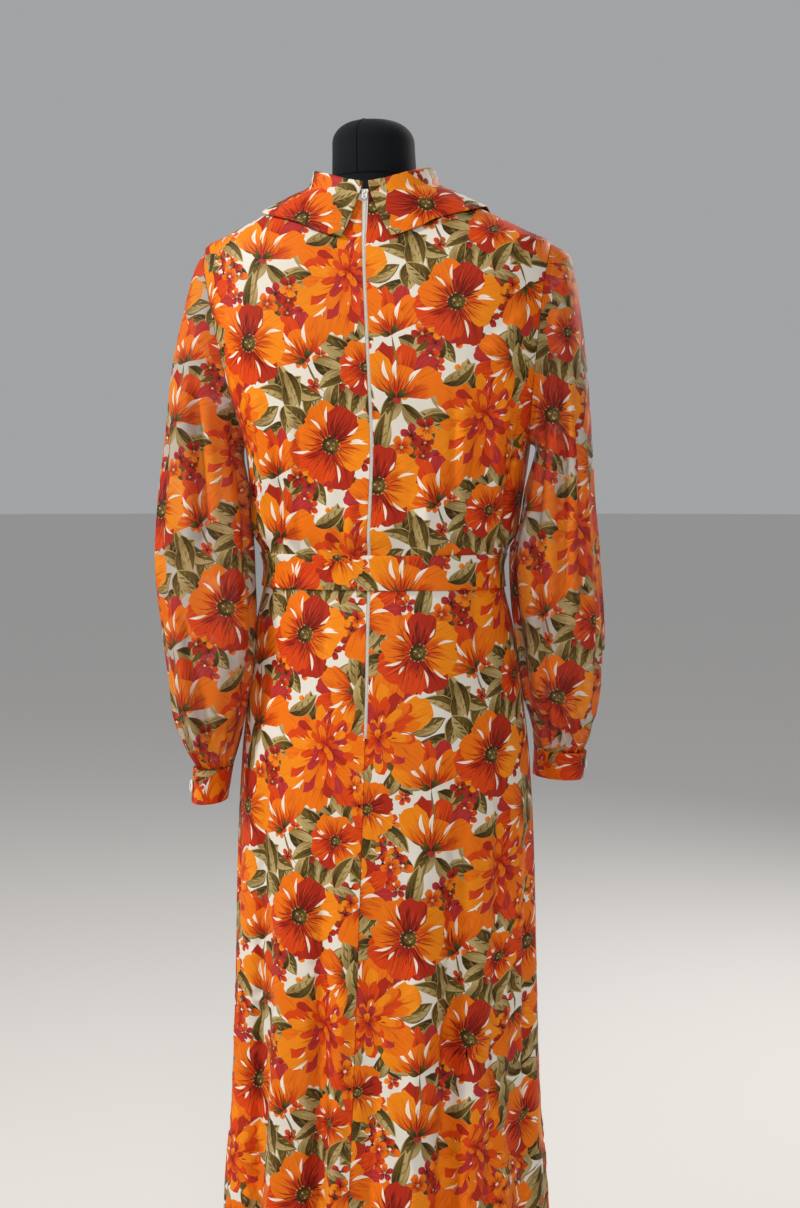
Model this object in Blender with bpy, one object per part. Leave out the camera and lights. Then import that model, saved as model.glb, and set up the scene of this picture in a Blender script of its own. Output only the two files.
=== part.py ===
"""A long-sleeved maxi dress on a dress form, in metres, +Z up, standing on z = 0.

The back of the dress, with its zip, faces -Y, and +X is the wearer's right. The bodice and the skirt
are rings worked out from short tables of sections. Angles on a ring run from the centre back (0) over
the wearer's right side (90) to the centre front (180), and over the left side to -180.
"""

import math
from collections import namedtuple

import bmesh
import bpy
import numpy as np
from mathutils import Matrix, Vector

# ---- driving sizes ---------------------------------------------------------------------------------
HEM = 0.050  # height of the hem over the floor
WAIST = 1.069  # the waist seam, under the belt
UNDERARM = 1.215
SHOULDER_TIP = 1.444
NECK_SIDE = 1.510  # where the neckline crosses the shoulder seam

WALL = 0.0012  # printed chiffon over its backing
SEAM_GAP = 0.0003
HALF_SEAM = SEAM_GAP / 2

ARMHOLE_LOW_X = 0.167
ARMHOLE_TOP_X = 0.203
ARMHOLE_HALF_BACK = 0.056
ARMHOLE_HALF_FRONT = 0.052
ARMHOLE_STEPS = 11

ZIP_BOTTOM = 0.885
ZIP_TOP = 1.5080
ZIP_HALF = 0.0014  # half the width of the closed chain
ZIP_HALF_TOP = 0.0030  # where the tape shows at the neck
ZIP_WIDENS_FROM = 1.400
ZIP_THICK = 0.0014
ZIP_SIDE_GAP = 0.0005
ZIP_PROUD = 0.0002

SLIDER_LEVEL = 1.5025  # the zip's slider and its pull
SLIDER_WIDE = 0.0072
SLIDER_LONG = 0.0095
SLIDER_THICK = 0.0018
BRIDGE_WIDE = 0.0014
BRIDGE_IN = 0.0010  # clear radius round the pull's bar
BRIDGE_OUT = 0.0018
PULL_BAR = 0.0006
PULL_THICK = 0.0009
PULL_WIDE = 0.0064
PULL_LONG = 0.0096
PULL_HOLE_WIDE = 0.0036
PIVOT_HEIGHT = SLIDER_THICK + BRIDGE_IN

BELT_LOW = 1.0500
BELT_HIGH = 1.0880
BELT_WALL = 0.0022
BELT_CLEAR = 0.0006
BELT_LAP_DEG = 14.0

CUFF_HEIGHT = 0.040
CUFF_WALL = 0.0018
CUFF_LAP_FROM = 0.02  # turns: the upper end of the band, at the outer edge
CUFF_LAP_TO = 1.16  # and its lower end, under the upper one
BUTTON_RADIUS = 0.0075
BUTTON_THICK = 0.0026
BUTTON_OFF = 0.0004

COLLAR_WALL = 0.0018
COLLAR_FOLD = 0.0010  # inner radius of the roll
COLLAR_END = 3.4  # degrees from the centre back at the neckline
COLLAR_POINT_LEFT = 4.5  # and at the points
COLLAR_POINT_RIGHT = 6.7

BASE_RADIUS = 0.175
BASE_THICK = 0.018
POLE_RADIUS = 0.0125
FORM_BOTTOM = 0.800
NECK_CAP_SEAM = 1.523
NECK_CAP_TOP = 1.591
NECK_CAP_RADIUS = 0.0480

# ---- tables ----------------------------------------------------------------------------------------
Section = namedtuple("Section", "height half_width back front square back_drop front_drop")
SKIRT = (
    Section(HEM, 0.2140, 0.1780, 0.1790, 2.0, 0, 0),
    Section(0.240, 0.2060, 0.1660, 0.1680, 2.0, 0, 0),
    Section(0.340, 0.1995, 0.1580, 0.1600, 2.0, 0, 0),
    Section(0.420, 0.1905, 0.1520, 0.1550, 2.0, 0, 0),
    Section(0.560, 0.1840, 0.1440, 0.1480, 2.0, 0, 0),
    Section(0.720, 0.1790, 0.1370, 0.1410, 2.0, 0, 0),
    Section(0.800, 0.1750, 0.1320, 0.1370, 2.0, 0, 0),
    Section(0.873, 0.1695, 0.1270, 0.1330, 2.0, 0, 0),
    Section(0.937, 0.1610, 0.1200, 0.1260, 2.0, 0, 0),
    Section(1.008, 0.1520, 0.1090, 0.1140, 2.1, 0, 0),
    Section(1.045, 0.1430, 0.1010, 0.1080, 2.2, 0, 0),
    Section(WAIST, 0.1400, 0.0990, 0.1060, 2.2, 0, 0),
)
BODICE = (
    Section(WAIST, 0.1400, 0.0990, 0.1060, 2.2, 0, 0),
    Section(1.092, 0.1450, 0.0995, 0.1070, 2.2, 0, 0),
    Section(1.112, 0.1560, 0.1080, 0.1190, 2.3, 0, 0),
    Section(1.160, 0.1610, 0.1090, 0.1290, 2.4, 0, 0),
    Section(UNDERARM, ARMHOLE_LOW_X, 0.1100, 0.1370, 2.6, 0, 0),
    Section(1.270, 0.1756, 0.1115, 0.1350, 2.6, 0, 0.004),
    Section(1.330, 0.1850, 0.1100, 0.1230, 2.6, 0, 0.012),
    Section(1.390, 0.1945, 0.1020, 0.1040, 2.6, 0, 0.020),
    Section(SHOULDER_TIP, ARMHOLE_TOP_X, 0.0880, 0.0800, 2.6, 0, 0.026),
    Section(1.459, 0.1760, 0.0820, 0.0770, 2.4, 0.003, 0.034),
    Section(1.475, 0.1460, 0.0760, 0.0750, 2.3, 0.004, 0.042),
    Section(1.490, 0.1170, 0.0710, 0.0720, 2.2, 0.005, 0.050),
    Section(1.501, 0.0940, 0.0665, 0.0690, 2.1, 0.006, 0.056),
    Section(NECK_SIDE, 0.0680, 0.0620, 0.0640, 2.0, 0.007, 0.062),
)
FORM = (
    Section(FORM_BOTTOM, 0.1380, 0.1020, 0.1040, 2.1, 0, 0),
    Section(0.835, 0.1500, 0.1120, 0.1140, 2.1, 0, 0),
    Section(0.880, 0.1540, 0.1160, 0.1180, 2.1, 0, 0),
    Section(0.950, 0.1450, 0.1080, 0.1130, 2.1, 0, 0),
    Section(1.010, 0.1340, 0.0970, 0.1030, 2.1, 0, 0),
    Section(1.065, 0.1270, 0.0900, 0.0970, 2.1, 0, 0),
    Section(1.115, 0.1310, 0.0930, 0.1050, 2.2, 0, 0),
    Section(1.170, 0.1390, 0.0980, 0.1190, 2.3, 0, 0),
    Section(1.225, 0.1470, 0.1020, 0.1270, 2.4, 0, 0),
    Section(1.280, 0.1540, 0.1030, 0.1240, 2.5, 0, 0.004),
    Section(1.340, 0.1640, 0.1010, 0.1120, 2.6, 0, 0.012),
    Section(1.390, 0.1740, 0.0940, 0.0950, 2.6, 0, 0.020),
    Section(1.428, 0.1860, 0.0840, 0.0780, 2.6, 0, 0.026),
)
FORM_SHOULDER_LEVELS = (1.459, 1.475, 1.490, 1.501)  # rings where the form carries the dress
FORM_NECK = (
    Section(1.5065, 0.0695, 0.0600, 0.0600, 2.0, 0.0075, 0.061),
    Section(1.511, 0.0570, 0.0545, 0.0550, 2.0, 0.006, 0.046),
    Section(1.517, 0.0510, 0.0500, 0.0500, 2.0, 0.002, 0.016),
    Section(NECK_CAP_SEAM - SEAM_GAP, 0.0495, 0.0490, 0.0490, 2.0, 0, 0),
)
# how far the form as it stands lies to the wearer's right at each height
Lean = namedtuple("Lean", "height right")
LEAN = (
    Lean(0.93, 0.0),
    Lean(1.07, -0.002),
    Lean(1.21, 0.003),
    Lean(1.33, -0.002),
    Lean(1.444, -0.0095),
    Lean(NECK_CAP_TOP, -0.0145),
)
# angle from the centre back, depth at the hem or the waist, width on each side, height where it starts
Fold = namedtuple("Fold", "angle depth before after start")
SKIRT_FOLDS = (
    Fold(-70, 0.020, 8, 9, 0.80),
    Fold(-40, 0.026, 11, 6, 0.84),
    Fold(-12, 0.020, 8, 5, 0.76),
    Fold(5, 0.012, 5, 7, 0.80),
    Fold(35, 0.030, 12, 6, 0.90),
    Fold(66, 0.022, 8, 9, 0.80),
    Fold(104, 0.024, 8, 9, 0.82),
    Fold(132, 0.026, 9, 7, 0.85),
    Fold(159, 0.022, 7, 9, 0.80),
    Fold(186, 0.026, 9, 7, 0.86),
    Fold(214, 0.022, 7, 9, 0.80),
    Fold(243, 0.026, 9, 7, 0.84),
    Fold(266, 0.018, 7, 8, 0.78),
)
BODICE_FOLDS = (
    Fold(-66, 0.0050, 5, 4, 1.30),
    Fold(-38, 0.0060, 4, 5, 1.34),
    Fold(-14, 0.0030, 4, 4, 1.22),
    Fold(12, 0.0030, 4, 4, 1.22),
    Fold(38, 0.0060, 5, 4, 1.34),
    Fold(66, 0.0050, 4, 5, 1.30),
    Fold(112, 0.0050, 5, 4, 1.20),
    Fold(138, 0.0060, 5, 4, 1.22),
    Fold(162, 0.0030, 4, 4, 1.18),
    Fold(198, 0.0030, 4, 4, 1.18),
    Fold(222, 0.0060, 4, 5, 1.22),
    Fold(248, 0.0050, 4, 5, 1.20),
)
BODICE_FOLD_LOW = 1.092  # the belt presses the folds flat below this
SKIRT_TWIST = -6.0  # degrees that the seams and the folds drift round by the hem

# One row a section of a sleeve, seen from the back: its inner and outer edge, its middle and half
# depth from front to back, the depth of its long folds and that of its gathers, and the degrees that
# it is turned, its back going outwards.
Ring = namedtuple("Ring", "inner_x inner_z outer_x outer_z middle half_depth folds gathers turn")
SLEEVE_LEFT = (
    Ring(0.1705, 1.2145, 0.2150, 1.4300, -0.001, 0.0580, 0.0000, 0, 0),
    Ring(0.1725, 1.2130, 0.2320, 1.3830, -0.002, 0.0605, 0.0000, 0, 0),
    Ring(0.1740, 1.2080, 0.2510, 1.3150, -0.006, 0.0640, 0.0020, 0, 0),
    Ring(0.1710, 1.1960, 0.2640, 1.2380, -0.014, 0.0660, 0.0045, 0, -4),
    Ring(0.1630, 1.1650, 0.2710, 1.1680, -0.022, 0.0670, 0.0065, 0, -8),
    Ring(0.1570, 1.0780, 0.2700, 1.0780, -0.038, 0.0660, 0.0075, 0, -12),
    Ring(0.1520, 0.9850, 0.2560, 0.9850, -0.053, 0.0640, 0.0075, 0.0000, -16),
    Ring(0.1640, 0.9150, 0.2510, 0.9150, -0.046, 0.0630, 0.0060, 0.0006, -10),
    Ring(0.1700, 0.8800, 0.2400, 0.8800, -0.040, 0.0570, 0.0030, 0.0020, -5),
    Ring(0.1755, 0.8560, 0.2285, 0.8560, -0.037, 0.0490, 0.0010, 0.0026, 0),
    Ring(0.1790, 0.8350, 0.2210, 0.8353, -0.035, 0.0420, 0.0000, 0.0012, 0),
)
SLEEVE_RIGHT = (
    Ring(0.1705, 1.2145, 0.2250, 1.4290, 0.000, 0.0580, 0.0000, 0, 0),
    Ring(0.1725, 1.2130, 0.2320, 1.3730, 0.001, 0.0605, 0.0000, 0, 0),
    Ring(0.1740, 1.2080, 0.2370, 1.2950, 0.002, 0.0640, 0.0020, 0, 0),
    Ring(0.1710, 1.1960, 0.2400, 1.2280, 0.004, 0.0660, 0.0045, 0, 0),
    Ring(0.1630, 1.1650, 0.2445, 1.1680, 0.007, 0.0670, 0.0065, 0, 0),
    Ring(0.1540, 1.0780, 0.2565, 1.0780, 0.014, 0.0660, 0.0075, 0, 0),
    Ring(0.1600, 0.9850, 0.2620, 0.9880, 0.024, 0.0640, 0.0075, 0.0000, 4),
    Ring(0.1680, 0.9200, 0.2545, 0.9290, 0.033, 0.0600, 0.0060, 0.0006, 12),
    Ring(0.1740, 0.8920, 0.2440, 0.8990, 0.038, 0.0540, 0.0030, 0.0020, 22),
    Ring(0.1790, 0.8710, 0.2350, 0.8750, 0.043, 0.0470, 0.0010, 0.0026, 32),
    Ring(0.1810, 0.8520, 0.2260, 0.8540, 0.047, 0.0415, 0.0000, 0.0012, 40),
)
SLEEVE_COLUMNS = 4 * ARMHOLE_STEPS
SLEEVE_FOLDS = 5
SLEEVE_GATHERS = 14
# how far a cuff's lower edge lies from its upper one, how much smaller it is, how far its end stands
# off, and the turns of its two buttons
Cuff = namedtuple("Cuff", "drop_x drop_y drop_z narrower flare button_turns")
CUFF_LEFT = Cuff(0.0045, 0.000, -0.0400, 0.10, 0.0000, (0.125, 0.945))
CUFF_RIGHT = Cuff(-0.0040, 0.018, -0.0345, 0.04, 0.0015, (0.085, 0.945))
# the collar's outer edge as a ring of the bodice, and the height that it stands before it rolls
Edge = namedtuple("Edge", "angle level stand")
COLLAR = (
    Edge(0, 1.4470, 0.0060),
    Edge(6, 1.4480, 0.0065),
    Edge(20, 1.4660, 0.0090),
    Edge(45, 1.4750, 0.0150),
    Edge(90, 1.4840, 0.0205),
    Edge(135, 1.4620, 0.0160),
    Edge(180, 1.4150, 0.0110),
)
COLLAR_COLUMNS = 32
COLLAR_FALL_STEPS = 5

FABRIC = (0.80, 0.29, 0.07)
SHEER_FABRIC = (0.82, 0.34, 0.12)
WHITE_METAL = (0.86, 0.87, 0.88)
WHITE_PLASTIC = (0.90, 0.88, 0.83)
BLACK_JERSEY = (0.015, 0.017, 0.020)
DARK_METAL = (0.06, 0.06, 0.065)


# ---- numbers ---------------------------------------------------------------------------------------
def smooth(keys, values, at):
    """The value between a table's rows, on a curve through them that doesn't overshoot."""
    keys, values = np.asarray(keys, float), np.asarray(values, float)
    steps = np.diff(keys)
    rises = np.diff(values) / steps
    slopes = np.concatenate([rises[:1], np.zeros(len(keys) - 2), rises[-1:]])
    same = rises[:-1] * rises[1:] > 0
    both = np.where(same, rises[:-1] + rises[1:], 1)
    slopes[1:-1] = np.where(same, 2 * rises[:-1] * rises[1:] / both, 0)
    i = np.clip(np.searchsorted(keys, at, side="right") - 1, 0, len(keys) - 2)
    t = np.clip((at - keys[i]) / steps[i], 0, 1)
    rise, fall = t * t * (3 - 2 * t), (t - 1) ** 2
    start = values[i] * (1 - rise) + slopes[i] * steps[i] * t * fall
    return start + values[i + 1] * rise + slopes[i + 1] * steps[i] * t * t * (t - 1)


def column(table, name, at):
    return smooth([row[0] for row in table], [getattr(row, name) for row in table], at)


def ease(t):
    t = np.clip(t, 0, 1)
    return t * t * (3 - 2 * t)


def turned(angle):
    """The same angle between -180 and 180."""
    return (angle + 180) % 360 - 180


def fold_depth(folds, strength, angle):
    """How far the folds pull a ring in at this angle; strength is how deep each is here."""
    depth = 0
    for fold, share in zip(folds, strength):
        away = turned(angle - fold.angle)
        width = np.where(away < 0, fold.before, fold.after)
        depth = depth + fold.depth * share / (1 + (away / width) ** 2) ** 2
    return depth


# ---- the surface of the dress ----------------------------------------------------------------------
def armhole_turn(level):
    """0 at the shoulder tip and pi at the underarm."""
    middle = (SHOULDER_TIP + UNDERARM) / 2
    half = (SHOULDER_TIP - UNDERARM) / 2
    return np.arccos(np.clip((level - middle) / half, -1, 1))


def armhole_half(level, at_front):
    """Half the armhole's width at this height, towards the back or the front."""
    widest = np.where(at_front, ARMHOLE_HALF_FRONT, ARMHOLE_HALF_BACK)
    return widest * np.sin(armhole_turn(level))


def ring_point(table, level, angle):
    """The point of a table's ring at an angle, before folds."""
    sine, cosine = np.sin(np.radians(angle)), np.cos(np.radians(angle))
    at_front = cosine < 0
    depth = np.where(at_front, column(table, "front", level), column(table, "back", level))
    drop = np.where(at_front, column(table, "front_drop", level), column(table, "back_drop", level))
    square = column(table, "square", level)
    half_width = column(table, "half_width", level)
    if table is BODICE:
        open_half = armhole_half(level, at_front)
        half_width = half_width / (1 - (open_half / depth) ** square) ** (1 / square)
    x = half_width * np.sign(sine) * np.abs(sine) ** (2 / square)
    y = np.where(at_front, 1, -1) * depth * np.abs(cosine) ** (2 / square)
    return np.stack([x, y, level - drop * cosine**2], axis=-1)


def outward(table, level, angle):
    """The level ring's own direction away from the axis."""
    before, after = ring_point(table, level, angle - 0.5), ring_point(table, level, angle + 0.5)
    along = after - before
    out = np.stack([along[..., 1], -along[..., 0], 0 * along[..., 0]], axis=-1)
    return out / np.linalg.norm(out, axis=-1, keepdims=True)


def skirt_point(level, angle):
    down = (WAIST - level) / (WAIST - HEM)
    strength = [
        ease((fold.start - level) / (fold.start - HEM)) ** 0.55 * (0.35 + 0.65 * down)
        for fold in SKIRT_FOLDS
    ]
    depth = fold_depth(SKIRT_FOLDS, strength, angle)
    turned_angle = angle + SKIRT_TWIST * ease(down)
    out = outward(SKIRT, level, turned_angle)
    return ring_point(SKIRT, level, turned_angle) - depth[..., None] * out


def bodice_point(level, angle):
    strength = [
        ease((level - BODICE_FOLD_LOW) / 0.02) * ease((fold.start - level) / (fold.start - 1.11))
        for fold in BODICE_FOLDS
    ]
    depth = fold_depth(BODICE_FOLDS, strength, angle)
    return ring_point(BODICE, level, angle) - depth[..., None] * outward(BODICE, level, angle)


def normals_of(surface, level, angle):
    """Outward unit normals of a surface given by level and angle."""
    low, high = (SKIRT[0].height, WAIST) if surface is skirt_point else (WAIST, NECK_SIDE)
    above, below = np.minimum(level + 0.001, high), np.maximum(level - 0.001, low)
    up = surface(above, angle) - surface(below, angle)
    round_ = surface(level, angle + 0.4) - surface(level, angle - 0.4)
    across = np.cross(round_, up)
    return across / np.linalg.norm(across, axis=-1, keepdims=True)


def armhole_angle(level, at_front):
    """The angle on the bodice where the armhole's edge cuts this ring."""
    depth = column(BODICE, "front" if at_front else "back", level)
    share = (armhole_half(level, at_front) / depth) ** (column(BODICE, "square", level) / 2)
    from_middle = np.degrees(np.arccos(np.clip(share, 0, 1)))
    return 180 - from_middle if at_front else from_middle


def zip_half(level):
    """Half the width of the zip that shows between the back panels."""
    wider = ease((level - ZIP_WIDENS_FROM) / (ZIP_TOP - ZIP_WIDENS_FROM))
    return ZIP_HALF + (ZIP_HALF_TOP - ZIP_HALF) * wider


def angle_at_x(table, level, x):
    """The small angle from the centre back at which a ring reaches x."""
    square = column(table, "square", level)
    half_width = ring_point(table, level, 90.0 + 0 * level)[..., 0]
    return np.degrees(np.arcsin((x / half_width) ** (square / 2)))


# ---- meshes ----------------------------------------------------------------------------------------
def material(name, color, roughness, metallic=0.0):
    made = bpy.data.materials.new(name)
    made.use_nodes = True
    shader = made.node_tree.nodes["Principled BSDF"]
    shader.inputs["Base Color"].default_value = (*color, 1)
    shader.inputs["Roughness"].default_value = roughness
    shader.inputs["Metallic"].default_value = metallic
    return made


def lean(height):
    return column(LEAN, "right", height)


def place(name, bm, color, roughness, metallic=0.0, leans=True):
    """Makes an object of a finished bmesh, smooth where it is round."""
    mesh = bpy.data.meshes.new(name)
    bmesh.ops.recalc_face_normals(bm, faces=bm.faces)
    if leans:
        shifts = lean(np.array([vert.co.z for vert in bm.verts]))
        for vert, shift in zip(bm.verts, shifts):
            vert.co.x += shift
    bm.to_mesh(mesh)
    bm.free()
    mesh.shade_smooth()
    mesh.set_sharp_from_angle(angle=math.radians(40))
    mesh.materials.append(material(name, color, roughness, metallic))
    made = bpy.data.objects.new(name, mesh)
    bpy.context.scene.collection.objects.link(made)
    return made


def skin(bm, points, tube):
    """A sheet of quads through rows of points, joined into a tube or not. Returns its vertices."""
    rows, columns = points.shape[:2]
    verts = [[bm.verts.new(p) for p in row] for row in points]
    steps = columns if tube else columns - 1
    for low, high in zip(verts, verts[1:]):
        for i in range(steps):
            j = (i + 1) % columns
            bm.faces.new((low[i], low[j], high[j], high[i]))
    return verts


def wall_between(bm, outer, inner, tube=False):
    """The closed wall between an outer and an inner sheet of the same rows and columns."""
    out, within = skin(bm, outer, tube), skin(bm, inner, tube)
    loops = [(out[0], within[0]), (out[-1], within[-1])]
    if not tube:
        loops += [([r[0] for r in out], [r[0] for r in within])]
        loops += [([r[-1] for r in out], [r[-1] for r in within])]
    for a, b in loops:
        steps = len(a) if tube else len(a) - 1
        for i in range(steps):
            j = (i + 1) % len(a)
            bm.faces.new((a[i], a[j], b[j], b[i]))


def pulled(points, first_row=0, last_row=0, first_column=0, last_column=0):
    """The sheet with its edges drawn in along it, to leave the gap of a seam."""
    points = points.copy()
    for edge, inside, by in (
        (np.s_[0], np.s_[1], first_row),
        (np.s_[-1], np.s_[-2], last_row),
        (np.s_[:, 0], np.s_[:, 1], first_column),
        (np.s_[:, -1], np.s_[:, -2], last_column),
    ):
        if by:
            step = points[inside] - points[edge]
            points[edge] += by * step / np.linalg.norm(step, axis=-1, keepdims=True)
    return points


def panel(name, surface, levels, angles, gaps, wall=WALL, color=FABRIC):
    """A cut piece of cloth as a wall: angles has a row of columns for each level."""
    levels = np.repeat(np.asarray(levels, float)[:, None], angles.shape[1], axis=1)
    outer = surface(levels, angles)
    inner = outer - wall * normals_of(surface, levels, angles)
    bm = bmesh.new()
    wall_between(bm, pulled(outer, **gaps), pulled(inner, **gaps))
    place(name, bm, color, 0.62)
    return outer, inner


def spread(first, last, steps, through=()):
    """Angles from first to last for each level, with a column moved onto each angle in through."""
    share = np.linspace(0, 1, steps + 1)
    angles = first[:, None] + (last - first)[:, None] * share[None, :]
    for angle in through:
        inside = 1 + np.argmin(np.abs(angles[0, 1:-1] - angle))
        if abs(angles[0, inside] - angle) < abs(last[0] - first[0]) / steps:
            angles[:, inside] = angle
    return angles


# ---- the form --------------------------------------------------------------------------------------
def turned_profile(profile, segments):
    """A bmesh turned round Z from points (radius, height), closed at both ends."""
    bm = bmesh.new()
    rings = []
    for radius, height in profile:
        angles = np.arange(segments) * math.tau / segments
        ring = [bm.verts.new((radius * math.cos(a), radius * math.sin(a), height)) for a in angles]
        rings.append(ring)
    for low, high in zip(rings, rings[1:]):
        for i in range(segments):
            j = (i + 1) % segments
            bm.faces.new((low[i], low[j], high[j], high[i]))
    bm.faces.new(rings[0][::-1])
    bm.faces.new(rings[-1])
    return bm


def build_form():
    bevel = 0.004
    base = turned_profile(
        [
            (BASE_RADIUS, 0.0),
            (BASE_RADIUS, BASE_THICK - bevel),
            (BASE_RADIUS - bevel, BASE_THICK),
        ],
        40,
    )
    place("form_base", base, DARK_METAL, 0.35, 0.8, leans=False)
    pole = turned_profile(
        [(POLE_RADIUS, BASE_THICK + SEAM_GAP), (POLE_RADIUS, FORM_BOTTOM - SEAM_GAP)], 20
    )
    place("form_pole", pole, DARK_METAL, 0.25, 1.0, leans=False)

    angles = np.arange(36) * 10.0 - 180
    rings = [ring_point(FORM, np.full(36, row.height), angles) for row in FORM]
    for height in FORM_SHOULDER_LEVELS:
        level = np.full(36, height)
        normal = normals_of(bodice_point, level, angles)
        rings.append(bodice_point(level, angles) - (WALL + 0.0005) * normal)
    rings += [ring_point(FORM_NECK, np.full(36, row.height), angles) for row in FORM_NECK]
    bm = bmesh.new()
    verts = skin(bm, np.array(rings), True)
    bm.faces.new(verts[0])
    bm.faces.new(verts[-1])
    place("form_torso", bm, BLACK_JERSEY, 0.85)

    corner, corner_height = 0.032, 0.026
    turns = np.linspace(0, math.pi / 2, 6)
    profile = [(NECK_CAP_RADIUS + 0.0015, NECK_CAP_SEAM)]
    profile += [
        (
            NECK_CAP_RADIUS - corner * (1 - math.cos(t)),
            NECK_CAP_TOP - 0.002 - corner_height * (1 - math.sin(t)),
        )
        for t in turns
    ]
    place("form_neck_cap", turned_profile([*profile, (0.004, NECK_CAP_TOP)], 28), BLACK_JERSEY, 0.80)


# ---- bodice and skirt ------------------------------------------------------------------------------
def bodice_levels():
    """The rows of the bodice: where the armhole's steps lie, and those above and below it."""
    turns = np.linspace(math.pi, 0, ARMHOLE_STEPS + 1)
    middle, half = (SHOULDER_TIP + UNDERARM) / 2, (SHOULDER_TIP - UNDERARM) / 2
    armhole = middle + half * np.cos(turns)
    below = [WAIST, 1.092, 1.104, 1.122, 1.165]
    above = [*FORM_SHOULDER_LEVELS, NECK_SIDE]
    return np.array([*below, *armhole, *above]), len(below), len(below) + ARMHOLE_STEPS


def build_bodice():
    """Returns the armhole edges of each side, as (back outer, back inner, front outer, front inner)."""
    levels, low, high = bodice_levels()
    back_edge, front_edge = armhole_angle(levels, False), armhole_angle(levels, True)
    zip_edge = angle_at_x(BODICE, levels, zip_half(levels) + ZIP_SIDE_GAP)
    back_cut = spread(zip_edge, back_edge, 10)
    front_cut = np.concatenate(
        [
            spread(front_edge, np.full(len(levels), 180.0), 9),
            spread(np.full(len(levels), 180.0), 360 - front_edge, 9)[:, 1:],
        ],
        axis=1,
    )
    seam = {"first_row": HALF_SEAM, "last_column": HALF_SEAM}
    right = panel("back_bodice_right", bodice_point, levels, back_cut, seam)
    left = panel("back_bodice_left", bodice_point, levels, -back_cut, seam)
    front = panel(
        "front_bodice", bodice_point, levels, front_cut, {**seam, "first_column": HALF_SEAM}
    )
    rows = slice(low, high + 1)
    return {
        1: (right[0][rows, -1], right[1][rows, -1], front[0][rows, 0], front[1][rows, 0]),
        -1: (left[0][rows, -1], left[1][rows, -1], front[0][rows, -1], front[1][rows, -1]),
    }


def build_skirt():
    levels = np.array(
        [HEM, 0.18, 0.32, 0.45, 0.58, 0.69, 0.78, ZIP_BOTTOM, 0.955, 1.015, 1.046, WAIST]
    )
    flat = np.ones(len(levels))
    in_zip = levels >= ZIP_BOTTOM - 0.0001
    at_zip = angle_at_x(SKIRT, levels, np.where(in_zip, ZIP_HALF + ZIP_SIDE_GAP, HALF_SEAM))
    centres = [turned(fold.angle) for fold in SKIRT_FOLDS]
    seam = {"last_row": HALF_SEAM, "last_column": HALF_SEAM}
    right = spread(at_zip, 90 * flat, 20, [a for a in centres if 4 < a < 86])
    left = spread(-at_zip, -90 * flat, 20, [a for a in centres if -86 < a < -8])
    front = spread(90 * flat, 270 * flat, 40, [f.angle for f in SKIRT_FOLDS if 94 < f.angle < 267])
    panel("back_skirt_right", skirt_point, levels, right, seam)
    panel("back_skirt_left", skirt_point, levels, left, seam)
    panel("front_skirt", skirt_point, levels, front, {**seam, "first_column": HALF_SEAM})


# ---- sleeves and cuffs -----------------------------------------------------------------------------
def with_midpoints(loop):
    """A closed loop with a point halfway along each side."""
    halfway = (loop + np.roll(loop, -1, axis=0)) / 2
    return np.stack([loop, halfway], axis=1).reshape(-1, 3)


def shrunk(ring, by):
    """A closed ring drawn in by the thickness of its wall, across its own line."""
    along = np.roll(ring, -1, axis=0) - np.roll(ring, 1, axis=0)
    normal = np.zeros(3)
    for a, b in zip(ring, np.roll(ring, -1, axis=0)):
        normal += np.cross(a - ring.mean(0), b - ring.mean(0))
    normal /= np.linalg.norm(normal)
    inwards = np.cross(normal, along)
    return ring + by * inwards / np.linalg.norm(inwards, axis=1, keepdims=True)


def oval(row, side, turns, radius_share=1.0):
    """Points of a sleeve's section: turn 0 is its outer edge and a quarter turn its back."""
    inner = np.array([side * row.inner_x, row.middle, row.inner_z])
    outer = np.array([side * row.outer_x, row.middle, row.outer_z])
    across, depth = (outer - inner) / 2, np.array([0, -row.half_depth, 0])
    c, s = np.cos(math.tau * turns)[:, None], np.sin(math.tau * turns)[:, None]
    arms = (across * c + depth * s) * radius_share
    by = side * math.radians(row.turn)
    turn_back_out = np.array(
        [[math.cos(by), -math.sin(by), 0], [math.sin(by), math.cos(by), 0], [0, 0, 1.0]]
    )
    return (inner + outer) / 2 + arms @ turn_back_out.T


def sleeve_share(row, turns):
    """How much the long folds and the gathers pull a section in at each turn."""
    half = math.hypot(row.outer_x - row.inner_x, row.outer_z - row.inner_z) / 2
    mean = (half + row.half_depth) / 2
    uneven = turns + 0.022 * np.sin(math.tau * 2 * turns + 0.7)
    long_folds = (0.5 - 0.5 * np.cos(math.tau * (SLEEVE_FOLDS * uneven + 0.35))) ** 2
    gathers = 0.5 - 0.5 * np.cos(math.tau * SLEEVE_GATHERS * uneven)
    return 1 - (row.folds * long_folds + row.gathers * gathers) / mean


def build_sleeve(name, side, edges, table):
    """A tube from the armhole, down beside the body, to the cuff."""
    back_outer, _, front_outer, _ = edges
    loop = np.concatenate([back_outer[::-1], front_outer[1:-1]])
    lean = math.atan2(ARMHOLE_TOP_X - ARMHOLE_LOW_X, SHOULDER_TIP - UNDERARM)
    away = np.array([side * math.cos(lean), 0, -math.sin(lean)])
    outer = [with_midpoints(loop) + SEAM_GAP * 1.5 * away]
    turns = np.arange(SLEEVE_COLUMNS) / SLEEVE_COLUMNS
    outer += [oval(row, side, turns, sleeve_share(row, turns)[:, None]) for row in table]
    inner = [shrunk(ring, WALL * side) for ring in outer]
    bm = bmesh.new()
    wall_between(bm, np.array(outer), np.array(inner), tube=True)
    place(name, bm, SHEER_FABRIC, 0.6)


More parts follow.
